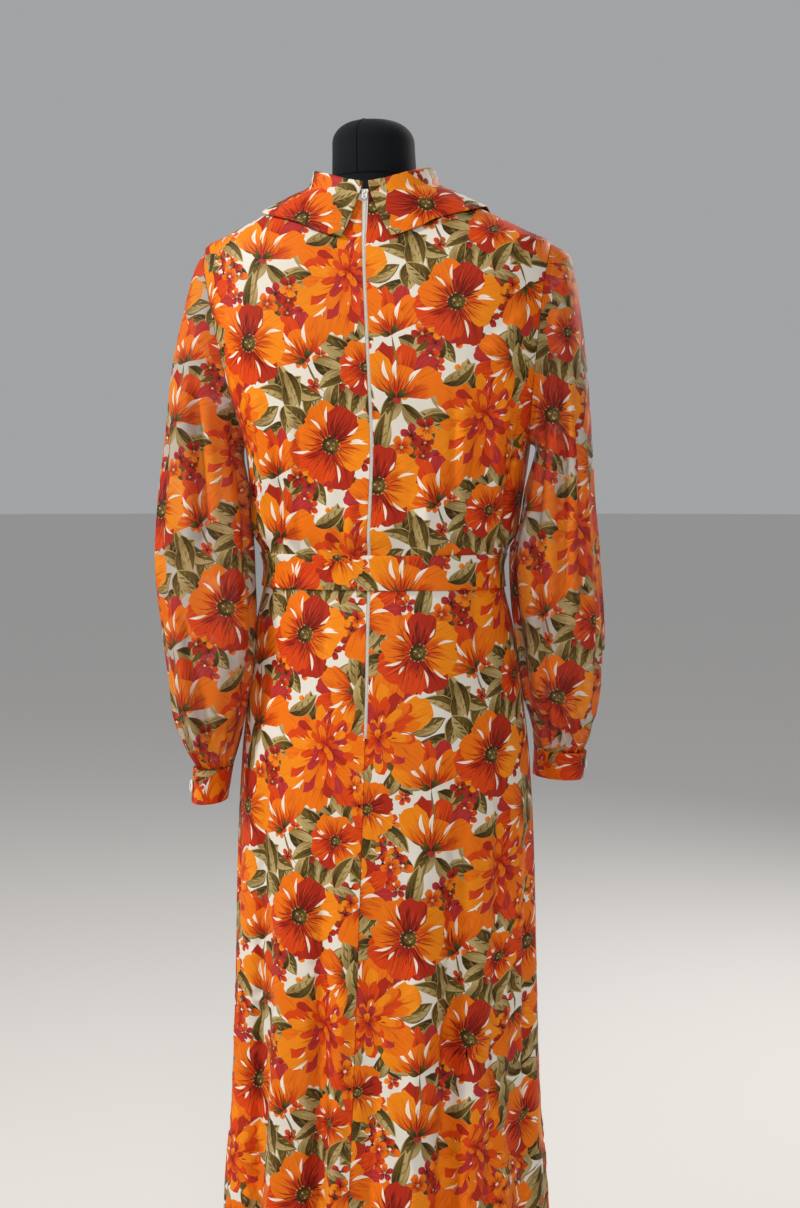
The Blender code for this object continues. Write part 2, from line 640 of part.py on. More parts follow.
def build_cuff(name, side, table, cuff):
    """A band wound once round the wrist, one end lapped over the other, with its buttons."""
    top = table[-1]
    steps = 36
    turns = np.linspace(CUFF_LAP_FROM, CUFF_LAP_TO, steps + 1)
    lifted = ease((0.31 - turns) / 0.12) * (CUFF_WALL + 0.0005)
    lifted += ease((CUFF_LAP_FROM + 0.12 - turns) / 0.12) * cuff.flare
    rows = []
    for share in (0, 0.5, 1):
        shift = np.array([side * cuff.drop_x, cuff.drop_y, cuff.drop_z]) * share
        shift[2] -= 2.5 * SEAM_GAP
        rows.append(oval(top, side, turns, 1 - cuff.narrower * share) + shift)
    outer_line = np.array(rows)
    along = np.gradient(outer_line, axis=1)
    out = np.cross(along, np.array([0, 0, 1.0])) * -side
    out /= np.linalg.norm(out, axis=-1, keepdims=True)
    mid = outer_line + out * (lifted[None, :, None])
    facing = np.cross(np.gradient(mid, axis=1), np.gradient(mid, axis=0)) * side
    bm = bmesh.new()
    wall_between(bm, mid, mid - out * CUFF_WALL)
    place(name, bm, FABRIC, 0.62)
    for number, turn in enumerate(cuff.button_turns, 1):
        i = np.argmin(np.abs(turns - turn))
        direction = Vector(facing[1, i]).normalized()
        at = Vector(mid[1, i]) + direction * BUTTON_OFF
        button = turned_profile(
            [
                (0.0022, 0.0),
                (0.0022, 0.0008),
                (BUTTON_RADIUS - 0.0008, 0.0008),
                (BUTTON_RADIUS, 0.0014),
                (BUTTON_RADIUS - 0.0006, BUTTON_THICK),
                (BUTTON_RADIUS - 0.0018, BUTTON_THICK),
                (BUTTON_RADIUS - 0.0032, BUTTON_THICK - 0.0007),
            ],
            12,
        )
        turn_to = direction.to_track_quat("Z", "Y").to_matrix().to_4x4()
        bmesh.ops.transform(button, matrix=Matrix.Translation(at) @ turn_to, verts=button.verts)
        place(f"{name}_button_{number}", button, WHITE_PLASTIC, 0.25)


# ---- collar and belt -------------------------------------------------------------------------------
def collar_angles(share):
    """The columns of the collar, whose two ends lean away from the centre back towards its points."""
    half = COLLAR_COLUMNS // 2 + 1
    right = COLLAR_END + (COLLAR_POINT_RIGHT - COLLAR_END) * share
    left = COLLAR_END + (COLLAR_POINT_LEFT - COLLAR_END) * share
    return np.concatenate([np.linspace(right, 180, half), np.linspace(180, 360 - left, half)[1:]])


def build_collar():
    """Rises from the neckline, rolls over and lies on the shoulders, open at the centre back."""
    angles = collar_angles(0)
    from_back = np.abs(turned(angles))
    edge = column(COLLAR, "level", from_back)
    stand = column(COLLAR, "stand", from_back)
    seam = bodice_point(np.full(len(angles), NECK_SIDE), angles)
    out = outward(BODICE, np.full(len(angles), NECK_SIDE), angles)
    up = np.array([0, 0, 1.0])
    radius = COLLAR_FOLD + COLLAR_WALL

    def rise(across, height):
        return seam + out * across + up * np.reshape(height, (-1, 1))

    centre = COLLAR_FOLD  # the roll's middle, measured out from the neckline
    outer = [rise(centre - radius, np.full(len(angles), SEAM_GAP))]
    inner = [rise(centre - COLLAR_FOLD, np.full(len(angles), SEAM_GAP))]
    for turn in np.radians([180, 120, 60, 0]):
        c, s = math.cos(turn), math.sin(turn)
        outer.append(rise(centre + radius * c, stand + radius * s))
        inner.append(rise(centre + COLLAR_FOLD * c, stand + COLLAR_FOLD * s))
    for step in range(1, COLLAR_FALL_STEPS + 1):
        share = step / COLLAR_FALL_STEPS
        level = NECK_SIDE + (edge - NECK_SIDE) * share**0.9
        angles = collar_angles(share)
        clear = 0.0026 * (1 - share) ** 0.7 + 0.0010
        on = bodice_point(level, angles)
        normal = normals_of(bodice_point, level, angles)
        outer.append(on + normal * (clear + COLLAR_WALL))
        inner.append(on + normal * clear)
    bm = bmesh.new()
    wall_between(bm, np.array(outer), np.array(inner))
    place("collar", bm, FABRIC, 0.6)


def build_belt():
    """A band round the waist, its ends lapped at the centre front."""
    angles = np.linspace(180 + BELT_LAP_DEG / 2, -180 - BELT_LAP_DEG / 2, 49)
    over = ease((-angles - 160) / 12) * (BELT_WALL + 0.0006)
    clear = BELT_CLEAR + over[None, :, None]
    heights = np.array([BELT_LOW, WAIST, BELT_HIGH])
    levels = np.repeat(heights[:, None], len(angles), axis=1)
    turns = np.repeat(angles[None, :], len(heights), axis=0)
    rows = np.where(
        (levels < WAIST)[..., None],
        ring_point(SKIRT, levels, turns),
        ring_point(BODICE, levels, turns),
    )
    out = outward(BODICE, np.full(levels.shape, WAIST), turns)
    bm = bmesh.new()
    wall_between(bm, rows + out * (clear + BELT_WALL), rows + out * clear)
    place("belt", bm, FABRIC, 0.6)


# ---- zip -------------------------------------------------------------------------------------------
def centre_back(level):
    """The point, outward normal and upward direction at the centre back."""

    def on_dress(height):
        below = (height < WAIST)[..., None]
        return np.where(below, skirt_point(height, 0 * height), bodice_point(height, 0 * height))

    level = np.asarray(level, float)
    surface = on_dress(level)
    up = on_dress(np.minimum(level + 0.002, NECK_SIDE)) - surface
    up /= np.linalg.norm(up, axis=-1, keepdims=True)
    normal = np.cross(np.broadcast_to([1.0, 0, 0], up.shape), up)
    return surface, normal, up


def build_zip():
    in_skirt = [ZIP_BOTTOM + 0.001, 0.92, 0.955, 0.985, 1.015, 1.046, WAIST - 0.001]
    over_waist = [1.080, 1.092, 1.098, 1.104, 1.112, 1.122, 1.143, 1.165, 1.19]
    up_back = [1.22, 1.25, 1.28, 1.31, 1.34, 1.37, 1.40, 1.42, 1.44]
    levels = np.array([*in_skirt, *over_waist, *up_back, *FORM_SHOULDER_LEVELS, ZIP_TOP])
    surface, normal, _ = centre_back(levels)
    half = zip_half(levels)[:, None] * np.array([[1.0, 0, 0]])
    outer = np.stack([surface - half, surface + half], axis=1) + (normal * ZIP_PROUD)[:, None]
    bm = bmesh.new()
    wall_between(bm, outer, outer - (normal * ZIP_THICK)[:, None])
    place("zip_chain", bm, WHITE_PLASTIC, 0.4)

    surface, normal, up = centre_back(SLIDER_LEVEL)
    frame = Matrix((Vector((1, 0, 0)), Vector(up), Vector(normal))).transposed().to_4x4()
    frame.translation = Vector(surface + normal * (ZIP_PROUD + SEAM_GAP))
    frame.translation.x += lean(frame.translation.z)
    build_slider(frame)


def extruded(bm, outline, low, high, axis):
    """A prism of an outline in the two other axes, from low to high along axis."""

    def at(p, q, along):
        point = [p, q]
        point.insert(axis, along)
        return bm.verts.new(point)

    first = [at(p, q, low) for p, q in outline]
    second = [at(p, q, high) for p, q in outline]
    bm.faces.new(first[::-1])
    bm.faces.new(second)
    for i in range(len(outline)):
        j = (i + 1) % len(outline)
        bm.faces.new((first[i], first[j], second[j], second[i]))


def build_slider(frame):
    """The zip's slider with its bridge, and the pull that swings on it. Local Z is away from the cloth."""
    wide, long_ = SLIDER_WIDE / 2, SLIDER_LONG / 2
    waist = 0.72
    outline = [(-wide * waist, -long_), (wide * waist, -long_), (wide, long_ * 0.5)]
    outline += [(wide * 0.8, long_), (-wide * 0.8, long_), (-wide, long_ * 0.5)]
    bm = bmesh.new()
    extruded(bm, outline, 0, SLIDER_THICK, 2)
    bridge = [(-BRIDGE_OUT, SLIDER_THICK - 0.0004), (-BRIDGE_OUT, PIVOT_HEIGHT)]
    bends = np.radians([150, 120, 90, 60, 30])
    bridge += [(BRIDGE_OUT * math.cos(b), PIVOT_HEIGHT + BRIDGE_OUT * math.sin(b)) for b in bends]
    bridge += [(BRIDGE_OUT, PIVOT_HEIGHT), (BRIDGE_OUT, SLIDER_THICK - 0.0004)]
    bridge += [(BRIDGE_IN, SLIDER_THICK - 0.0004), (BRIDGE_IN, PIVOT_HEIGHT)]
    back_bends = bends[::-1]
    bridge += [
        (BRIDGE_IN * math.cos(b), PIVOT_HEIGHT + BRIDGE_IN * math.sin(b)) for b in back_bends
    ]
    bridge += [(-BRIDGE_IN, PIVOT_HEIGHT), (-BRIDGE_IN, SLIDER_THICK - 0.0004)]
    slider = place("zip_slider", bm, WHITE_METAL, 0.3, 0.9, leans=False)
    arch = bmesh.new()
    extruded(arch, bridge, -BRIDGE_WIDE / 2, BRIDGE_WIDE / 2, 0)
    arch_helper = place("zip_bridge_helper", arch, WHITE_METAL, 0.3, 0.9, leans=False)
    arch_helper.hide_render = True
    arch_helper.display_type = "WIRE"
    join = slider.modifiers.new("bridge", "BOOLEAN")
    join.operation = "UNION"
    join.object = arch_helper
    slider.matrix_world = frame
    arch_helper.matrix_world = frame

    pull = bmesh.new()
    half, hole = PULL_WIDE / 2, PULL_HOLE_WIDE / 2
    top, low = PULL_BAR, -(PULL_LONG - half)
    bends = np.radians(np.arange(180, 361, 30))
    outside = [(half, low), (half * 0.78, top), (-half * 0.78, top), (-half, low)]
    outside += [(half * math.cos(b), low + half * math.sin(b)) for b in bends[1:-1]]
    inside = [(hole, low), (hole * 0.8, -PULL_BAR), (-hole * 0.8, -PULL_BAR), (-hole, low)]
    inside += [(hole * math.cos(b), low + hole * math.sin(b)) for b in bends[1:-1]]
    loops = []
    for outline in (outside, inside):
        for z in (-PULL_THICK / 2, PULL_THICK / 2):
            loops.append([pull.verts.new((x, y, z)) for x, y in outline])
    count = len(outside)
    for a, b in ((0, 1), (1, 3), (3, 2), (2, 0)):
        for i in range(count):
            j = (i + 1) % count
            pull.faces.new((loops[a][i], loops[a][j], loops[b][j], loops[b][i]))
    made = place("zip_pull", pull, WHITE_METAL, 0.25, 0.9, leans=False)
    made.matrix_world = frame @ Matrix.Translation((0, 0, PIVOT_HEIGHT))


def main():
    for old in list(bpy.data.objects):
        bpy.data.objects.remove(old)
    build_form()
    edges = build_bodice()
    build_skirt()
    build_sleeve("sleeve_right", 1, edges[1], SLEEVE_RIGHT)
    build_sleeve("sleeve_left", -1, edges[-1], SLEEVE_LEFT)
    build_cuff("cuff_right", 1, SLEEVE_RIGHT, CUFF_RIGHT)
    build_cuff("cuff_left", -1, SLEEVE_LEFT, CUFF_LEFT)
    build_collar()
    build_belt()
    build_zip()


main()
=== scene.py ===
import math
import random

import bmesh
import bpy
import numpy as np
from mathutils import Matrix, Vector
from mathutils.bvhtree import BVHTree
from mathutils.geometry import delaunay_2d_cdt


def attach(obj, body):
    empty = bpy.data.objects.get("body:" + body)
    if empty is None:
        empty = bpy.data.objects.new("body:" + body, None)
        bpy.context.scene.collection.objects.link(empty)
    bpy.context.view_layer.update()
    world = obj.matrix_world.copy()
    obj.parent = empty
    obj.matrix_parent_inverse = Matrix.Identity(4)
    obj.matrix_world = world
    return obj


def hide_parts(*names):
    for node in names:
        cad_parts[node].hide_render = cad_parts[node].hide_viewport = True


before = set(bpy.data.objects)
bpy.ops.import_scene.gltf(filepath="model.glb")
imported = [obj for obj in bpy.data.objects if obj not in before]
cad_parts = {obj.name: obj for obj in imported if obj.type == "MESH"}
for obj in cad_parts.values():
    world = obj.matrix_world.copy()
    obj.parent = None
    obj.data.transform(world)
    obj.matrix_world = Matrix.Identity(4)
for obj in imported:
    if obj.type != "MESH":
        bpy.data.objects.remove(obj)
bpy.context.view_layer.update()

# metres, +Z up; the back of the dress, with its zip, faces -Y and +X is the wearer's right

# camera, floor and light
studio = {
    "cameraTurn": 9.5,  # degrees round from straight behind
    "cameraDistance": 2.10,
    "cameraHeight": 1.174,
    "cameraDown": 4.0,
    "lens": 53.0,
    "shiftX": 0.0124,
    "floorRadius": 60.0,
    "floorColor": (0.78, 0.76, 0.73),
    "skyColor": (0.96, 0.97, 1.0),
    "skyStrength": 0.38,
    "lights": (  # name, place, aim, size, power, color
        ("key", (-2.2, -1.2, 2.9), (0, 0, 0.72), 0.45, 64, (1.0, 0.96, 0.90)),
        ("front", (0.6, -3.0, 2.3), (0, 0, 0.7), 0.9, 28, (1.0, 0.98, 0.95)),
        ("far", (1.4, 2.4, 2.6), (0, 0, 1.0), 1.2, 55, (1.0, 0.98, 0.95)),
    ),
}


def plainMaterial(name, color, roughness, metallic=0.0):
    made = bpy.data.materials.new(name)
    made.use_nodes = True
    shader = made.node_tree.nodes["Principled BSDF"]
    shader.inputs["Base Color"].default_value = (*color, 1)
    shader.inputs["Roughness"].default_value = roughness
    shader.inputs["Metallic"].default_value = metallic
    return made


def addLight(name, place, aim, size, power, color):
    data = bpy.data.lights.new(name, "AREA")
    data.shape = "DISK"
    data.size = size
    data.energy = power
    data.color = color
    light = bpy.data.objects.new(name, data)
    light.location = place
    light.rotation_euler = (Vector(aim) - Vector(place)).to_track_quat("-Z", "Y").to_euler()
    bpy.context.scene.collection.objects.link(light)


def makeStudio():
    turn = math.radians(studio["cameraTurn"])
    far = studio["cameraDistance"]
    data = bpy.data.cameras.new("camera")
    data.lens = studio["lens"]
    data.sensor_width = 36
    data.shift_x = studio["shiftX"]
    camera = bpy.data.objects.new("camera", data)
    camera.location = (far * math.sin(turn), -far * math.cos(turn), studio["cameraHeight"])
    camera.rotation_euler = (math.radians(90 - studio["cameraDown"]), 0, turn)
    bpy.context.scene.collection.objects.link(camera)
    bpy.context.scene.camera = camera

    bm = bmesh.new()
    bmesh.ops.create_circle(bm, cap_ends=True, radius=studio["floorRadius"], segments=96)
    mesh = bpy.data.meshes.new("floor")
    bm.to_mesh(mesh)
    bm.free()
    mesh.materials.append(plainMaterial("pale_floor", studio["floorColor"], 0.9))
    floor = bpy.data.objects.new("floor", mesh)
    bpy.context.scene.collection.objects.link(floor)

    world = bpy.data.worlds.new("world")
    world.use_nodes = True
    sky = world.node_tree.nodes["Background"]
    sky.inputs["Color"].default_value = (*studio["skyColor"], 1)
    sky.inputs["Strength"].default_value = studio["skyStrength"]
    bpy.context.scene.world = world
    for light in studio["lights"]:
        addLight(*light)
    bpy.context.scene.view_settings.view_transform = "Standard"


makeStudio()
print("studio ready")

# the surface of the dress: rings worked out from short tables of sections; angles on a ring run from
# the centre back (0) over the wearer's right side (90) to the centre front (180)
waist = 1.069
hem = 0.050
underarm = 1.215
shoulderTip = 1.444
neckSide = 1.510
wall = 0.0012
armhole = {"lowX": 0.167, "topX": 0.203, "halfBack": 0.056, "halfFront": 0.052}
armMiddle = (shoulderTip + underarm) / 2
armHalf = (shoulderTip - underarm) / 2


def rowsOf(names, *rows):
    return dict(zip(names.split(), np.array(rows, float).T))


sectionNames = "height halfWidth back front square backDrop frontDrop"
skirtRows = rowsOf(
    sectionNames,
    (hem, 0.2140, 0.1780, 0.1790, 2.0, 0, 0),
    (0.240, 0.2060, 0.1660, 0.1680, 2.0, 0, 0),
    (0.340, 0.1995, 0.1580, 0.1600, 2.0, 0, 0),
    (0.420, 0.1905, 0.1520, 0.1550, 2.0, 0, 0),
    (0.560, 0.1840, 0.1440, 0.1480, 2.0, 0, 0),
    (0.720, 0.1790, 0.1370, 0.1410, 2.0, 0, 0),
    (0.800, 0.1750, 0.1320, 0.1370, 2.0, 0, 0),
    (0.873, 0.1695, 0.1270, 0.1330, 2.0, 0, 0),
    (0.937, 0.1610, 0.1200, 0.1260, 2.0, 0, 0),
    (1.008, 0.1520, 0.1090, 0.1140, 2.1, 0, 0),
    (1.045, 0.1430, 0.1010, 0.1080, 2.2, 0, 0),
    (waist, 0.1400, 0.0990, 0.1060, 2.2, 0, 0),
)
bodiceRows = rowsOf(
    sectionNames,
    (waist, 0.1400, 0.0990, 0.1060, 2.2, 0, 0),
    (1.092, 0.1450, 0.0995, 0.1070, 2.2, 0, 0),
    (1.112, 0.1560, 0.1080, 0.1190, 2.3, 0, 0),
    (1.160, 0.1610, 0.1090, 0.1290, 2.4, 0, 0),
    (underarm, armhole["lowX"], 0.1100, 0.1370, 2.6, 0, 0),
    (1.270, 0.1756, 0.1115, 0.1350, 2.6, 0, 0.004),
    (1.330, 0.1850, 0.1100, 0.1230, 2.6, 0, 0.012),
    (1.390, 0.1945, 0.1020, 0.1040, 2.6, 0, 0.020),
    (shoulderTip, armhole["topX"], 0.0880, 0.0800, 2.6, 0, 0.026),
    (1.459, 0.1760, 0.0820, 0.0770, 2.4, 0.003, 0.034),
    (1.475, 0.1460, 0.0760, 0.0750, 2.3, 0.004, 0.042),
    (1.490, 0.1170, 0.0710, 0.0720, 2.2, 0.005, 0.050),
    (1.501, 0.0940, 0.0665, 0.0690, 2.1, 0.006, 0.056),
    (neckSide, 0.0680, 0.0620, 0.0640, 2.0, 0.007, 0.062),
)
leanRows = rowsOf(
    "height right",
    (0.93, 0.0),
    (1.07, -0.002),
    (1.21, 0.003),
    (1.33, -0.002),
    (1.444, -0.0095),
    (1.591, -0.0145),
)
foldNames = "angle depth before after start"
skirtFolds = rowsOf(
    foldNames,
    (-70, 0.020, 8, 9, 0.80),
    (-40, 0.026, 11, 6, 0.84),
    (-12, 0.020, 8, 5, 0.76),
    (5, 0.012, 5, 7, 0.80),
    (35, 0.030, 12, 6, 0.90),
    (66, 0.022, 8, 9, 0.80),
    (104, 0.024, 8, 9, 0.82),
    (132, 0.026, 9, 7, 0.85),
    (159, 0.022, 7, 9, 0.80),
    (186, 0.026, 9, 7, 0.86),
    (214, 0.022, 7, 9, 0.80),
    (243, 0.026, 9, 7, 0.84),
    (266, 0.018, 7, 8, 0.78),
)
bodiceFolds = rowsOf(
    foldNames,
    (-66, 0.0050, 5, 4, 1.30),
    (-38, 0.0060, 4, 5, 1.34),
    (-14, 0.0030, 4, 4, 1.22),
    (12, 0.0030, 4, 4, 1.22),
    (38, 0.0060, 5, 4, 1.34),
    (66, 0.0050, 4, 5, 1.30),
    (112, 0.0050, 5, 4, 1.20),
    (138, 0.0060, 5, 4, 1.22),
    (162, 0.0030, 4, 4, 1.18),
    (198, 0.0030, 4, 4, 1.18),
    (222, 0.0060, 4, 5, 1.22),
    (248, 0.0050, 4, 5, 1.20),
)
skirtTwist = -6.0


def smooth(keys, values, at):
    # the value between a table's rows, on a curve through them that doesn't overshoot
    keys, values, at = np.asarray(keys, float), np.asarray(values, float), np.asarray(at, float)
    more = (1,) * (values.ndim - 1)
    steps = np.diff(keys).reshape((-1, *more))
    rises = np.diff(values, axis=0) / steps
    slopes = np.concatenate([rises[:1], np.zeros((len(keys) - 2, *values.shape[1:])), rises[-1:]])
    same = rises[:-1] * rises[1:] > 0
    both = np.where(same, rises[:-1] + rises[1:], 1)
    slopes[1:-1] = np.where(same, 2 * rises[:-1] * rises[1:] / both, 0)
    i = np.clip(np.searchsorted(keys, at, side="right") - 1, 0, len(keys) - 2)
    t = np.clip((at - keys[i]) / np.diff(keys)[i], 0, 1).reshape((*at.shape, *more))
    rise, fall, step = t * t * (3 - 2 * t), (t - 1) ** 2, steps[i]
    start = values[i] * (1 - rise) + slopes[i] * step * t * fall
    return start + values[i + 1] * rise + slopes[i + 1] * step * t * t * (t - 1)


def ease(t):
    t = np.clip(t, 0, 1)
    return t * t * (3 - 2 * t)


def unit(vectors):
    return vectors / np.maximum(np.linalg.norm(vectors, axis=-1, keepdims=True), 1e-12)


def leaned(points):
    points = np.array(points, float)
    points[..., 0] += smooth(leanRows["height"], leanRows["right"], points[..., 2])
    return points


def foldDepth(folds, strength, angle):
    depth = 0
    for at, deep, before, after, share in zip(
        folds["angle"], folds["depth"], folds["before"], folds["after"], strength
    ):
        away = (angle - at + 180) % 360 - 180
        depth = depth + deep * share / (1 + (away / np.where(away < 0, before, after)) ** 2) ** 2
    return depth


def armholeHalf(level, atFront):
    turn = np.arccos(np.clip((level - armMiddle) / armHalf, -1, 1))
    return np.where(atFront, armhole["halfFront"], armhole["halfBack"]) * np.sin(turn)


def ringPoint(rows, level, angle):
    sine, cosine = np.sin(np.radians(angle)), np.cos(np.radians(angle))
    at = {name: smooth(rows["height"], rows[name], level) for name in rows if name != "height"}
    atFront = cosine < 0
    depth = np.where(atFront, at["front"], at["back"])
    drop = np.where(atFront, at["frontDrop"], at["backDrop"])
    halfWidth = at["halfWidth"]
    if rows is bodiceRows:
        opened = (armholeHalf(level, atFront) / depth) ** at["square"]
        halfWidth = halfWidth / (1 - opened) ** (1 / at["square"])
    x = halfWidth * np.sign(sine) * np.abs(sine) ** (2 / at["square"])
    y = np.where(atFront, 1, -1) * depth * np.abs(cosine) ** (2 / at["square"])
    return np.stack([x, y, level - drop * cosine**2], axis=-1)


def outward(rows, level, angle):
    along = ringPoint(rows, level, angle + 0.5) - ringPoint(rows, level, angle - 0.5)
    return unit(np.stack([along[..., 1], -along[..., 0], 0 * along[..., 0]], axis=-1))


def skirtPoint(level, angle):
    down = (waist - level) / (waist - hem)
    strength = [
        ease((start - level) / (start - hem)) ** 0.55 * (0.35 + 0.65 * down)
        for start in skirtFolds["start"]
    ]
    depth = foldDepth(skirtFolds, strength, angle)
    drifted = angle + skirtTwist * ease(down)
    return ringPoint(skirtRows, level, drifted) - depth[..., None] * outward(skirtRows, level, drifted)


def bodicePoint(level, angle):
    strength = [
        ease((level - 1.092) / 0.02) * ease((start - level) / (start - 1.11))
        for start in bodiceFolds["start"]
    ]
    depth = foldDepth(bodiceFolds, strength, angle)
    return ringPoint(bodiceRows, level, angle) - depth[..., None] * outward(bodiceRows, level, angle)


def armholeAngle(level, atFront):
    depth = smooth(bodiceRows["height"], bodiceRows["front" if atFront else "back"], level)
    square = smooth(bodiceRows["height"], bodiceRows["square"], level)
    share = (armholeHalf(level, atFront) / depth) ** (square / 2)
    fromMiddle = np.degrees(np.arccos(np.clip(share, 0, 1)))
    return 180 - fromMiddle if atFront else fromMiddle


def zipHalf(level):
    return 0.0014 + 0.0016 * ease((level - 1.400) / 0.108)


def angleAtX(rows, level, x):
    square = smooth(rows["height"], rows["square"], level)
    halfWidth = ringPoint(rows, level, 90.0 + 0 * level)[..., 0]
    return np.degrees(np.arcsin((x / halfWidth) ** (square / 2)))


# cloth pieces: a grid of points in space, with the place of each point on the flat cloth
def gridTriangles(rows, columns):
    corner = (np.arange(rows - 1)[:, None] * columns + np.arange(columns - 1)[None]).ravel()
    return np.concatenate(
        [
            np.stack([corner, corner + 1, corner + columns + 1], axis=1),
            np.stack([corner, corner + columns + 1, corner + columns], axis=1),
        ]
    )


def rimOf(grid):
    return np.concatenate([grid[0, :-1], grid[:-1, -1], grid[-1, :0:-1], grid[:0:-1, 0]])


def gridNormals(points):
    return unit(np.cross(np.gradient(points, axis=1), np.gradient(points, axis=0)))


def unroll(points, zeroColumn, zeroRow):
    # columns run round the body and rows run up, so the print is neither mirrored nor upside down
    across = np.linalg.norm(np.diff(points, axis=1), axis=-1)
    s = np.concatenate([np.zeros((len(points), 1)), np.cumsum(across, axis=1)], axis=1)
    s -= s[:, zeroColumn : zeroColumn + 1]
    step = np.linalg.norm(np.diff(points, axis=0), axis=-1)
    up = np.sqrt(np.maximum(step**2 - np.diff(s, axis=0) ** 2, (0.3 * step) ** 2))
    t = np.concatenate([np.zeros((1, points.shape[1])), np.cumsum(up, axis=0)])
    return np.stack([s, t - t[zeroRow]], axis=-1)


def flatten(points, guess, every, rounds=24):
    # lays the grid flat so that each of its triangles keeps its shape as nearly as it can; worked out
    # on every few columns, and spread over those between
    at, flat = points[:, ::every], guess[:, ::every]
    rows, columns = flat.shape[:2]
    at, flat = at.reshape(-1, 3), flat.reshape(-1, 2)
    faces = gridTriangles(rows, columns)
    first, second = at[faces[:, 1]] - at[faces[:, 0]], at[faces[:, 2]] - at[faces[:, 0]]
    along = unit(first)
    reach = (second * along).sum(-1)
    high = np.linalg.norm(second - reach[:, None] * along, axis=-1)
    shape = np.zeros((len(faces), 3, 2))
    shape[:, 1, 0] = np.linalg.norm(first, axis=-1)
    shape[:, 2] = np.stack([reach, high], axis=-1)
    system, sides = np.zeros((len(at), len(at))), []
    for k in range(3):
        i, j, across = k, (k + 1) % 3, (k + 2) % 3
        a, b = shape[:, i] - shape[:, across], shape[:, j] - shape[:, across]
        weight = (a * b).sum(-1) / np.maximum(np.abs(a[:, 0] * b[:, 1] - a[:, 1] * b[:, 0]), 1e-12)
        start, end = faces[:, i], faces[:, j]
        for p, q, sign in ((start, start, 1), (end, end, 1), (start, end, -1), (end, start, -1)):
            np.add.at(system, (p, q), sign * weight)
        sides.append((start, end, weight[:, None], shape[:, j] - shape[:, i]))
    middle = len(at) // 2
    system[middle, middle] += 1
    solved, pinned = np.linalg.inv(system), flat[middle].copy()
    for _ in range(rounds):
        cosine = sine = 0
        for start, end, weight, side in sides:
            now = weight * (flat[end] - flat[start])
            cosine = cosine + (now * side).sum(-1)
            sine = sine + now[:, 1] * side[:, 0] - now[:, 0] * side[:, 1]
        turn = np.arctan2(sine, cosine)
        c, t = np.cos(turn)[:, None], np.sin(turn)[:, None]
        target = np.zeros_like(flat)
        for start, end, weight, side in sides:
            turned = weight * np.concatenate(
                [c * side[:, :1] - t * side[:, 1:], t * side[:, :1] + c * side[:, 1:]], axis=1
            )
            np.add.at(target, end, turned)
            np.add.at(target, start, -turned)
        target[middle] += pinned
        flat = solved @ target
    wide = smooth(
        np.arange(columns) * every, flat.reshape(rows, columns, 2).swapaxes(0, 1),
        np.arange(points.shape[1]),
    )
    return wide.swapaxes(0, 1)


def takeUp(cloth, form, zeroColumn):
    # the folds and creases take up cloth, so its flat size grows by what they add to each row
    def lengths(points):
        return np.linalg.norm(np.diff(points, axis=1), axis=-1)

    extra = np.cumsum(np.maximum(lengths(cloth["points"]) - lengths(form), 0), axis=1)
    extra = np.concatenate([np.zeros((len(extra), 1)), extra], axis=1)
    cloth["flat"][..., 0] += extra - extra[:, zeroColumn : zeroColumn + 1]


def crease(cloth, creases):
    # each crease is a soft trough along a path on the flat cloth: the path, how deep it is (a ridge
    # where that is below zero), and its half width, which is less on its left, where cloth rolls over it
    flat, depth = cloth["flat"], 0
    for path, deep, width in creases:
        path = np.array(path, float)
        steps = np.linalg.norm(np.diff(path, axis=0), axis=-1)
        keys = np.concatenate([[0], np.cumsum(steps)])
        line = smooth(keys, path, np.linspace(0, keys[-1], 41))
        away = np.linalg.norm(flat[..., None, :] - line, axis=-1)
        near = away.argmin(-1)
        wide = np.where(flat[..., 0] > line[near, 0], 1.7 * width, 0.8 * width)
        ends = ease(near / 40 / 0.28) * ease((1 - near / 40) / 0.28)
        depth = depth + deep * ends * np.exp(-((away.min(-1) / wide) ** 2))
    column = np.arange(flat.shape[1])
    depth = depth * ease(column / 6) * ease(column[::-1] / 6)
    cloth["points"] = cloth["points"] - depth[..., None] * cloth["normals"]
    cloth["normals"] = gridNormals(cloth["points"])
    return cloth


def cut(points, zeroColumn, zeroRow):
    points = leaned(points)
    return {
        "points": points,
        "normals": gridNormals(points),
        "flat": unroll(points, zeroColumn, zeroRow),
        "kept": {"left": 0, "right": 0, "bottom": 0, "top": 0},
    }


sideViews = {
    "right": lambda a: a,
    "left": lambda a: a[:, ::-1],
    "top": lambda a: a.swapaxes(0, 1),
    "bottom": lambda a: a.swapaxes(0, 1)[:, ::-1],
}
sideViewsBack = {**sideViews, "bottom": lambda a: a[:, ::-1].swapaxes(0, 1)}


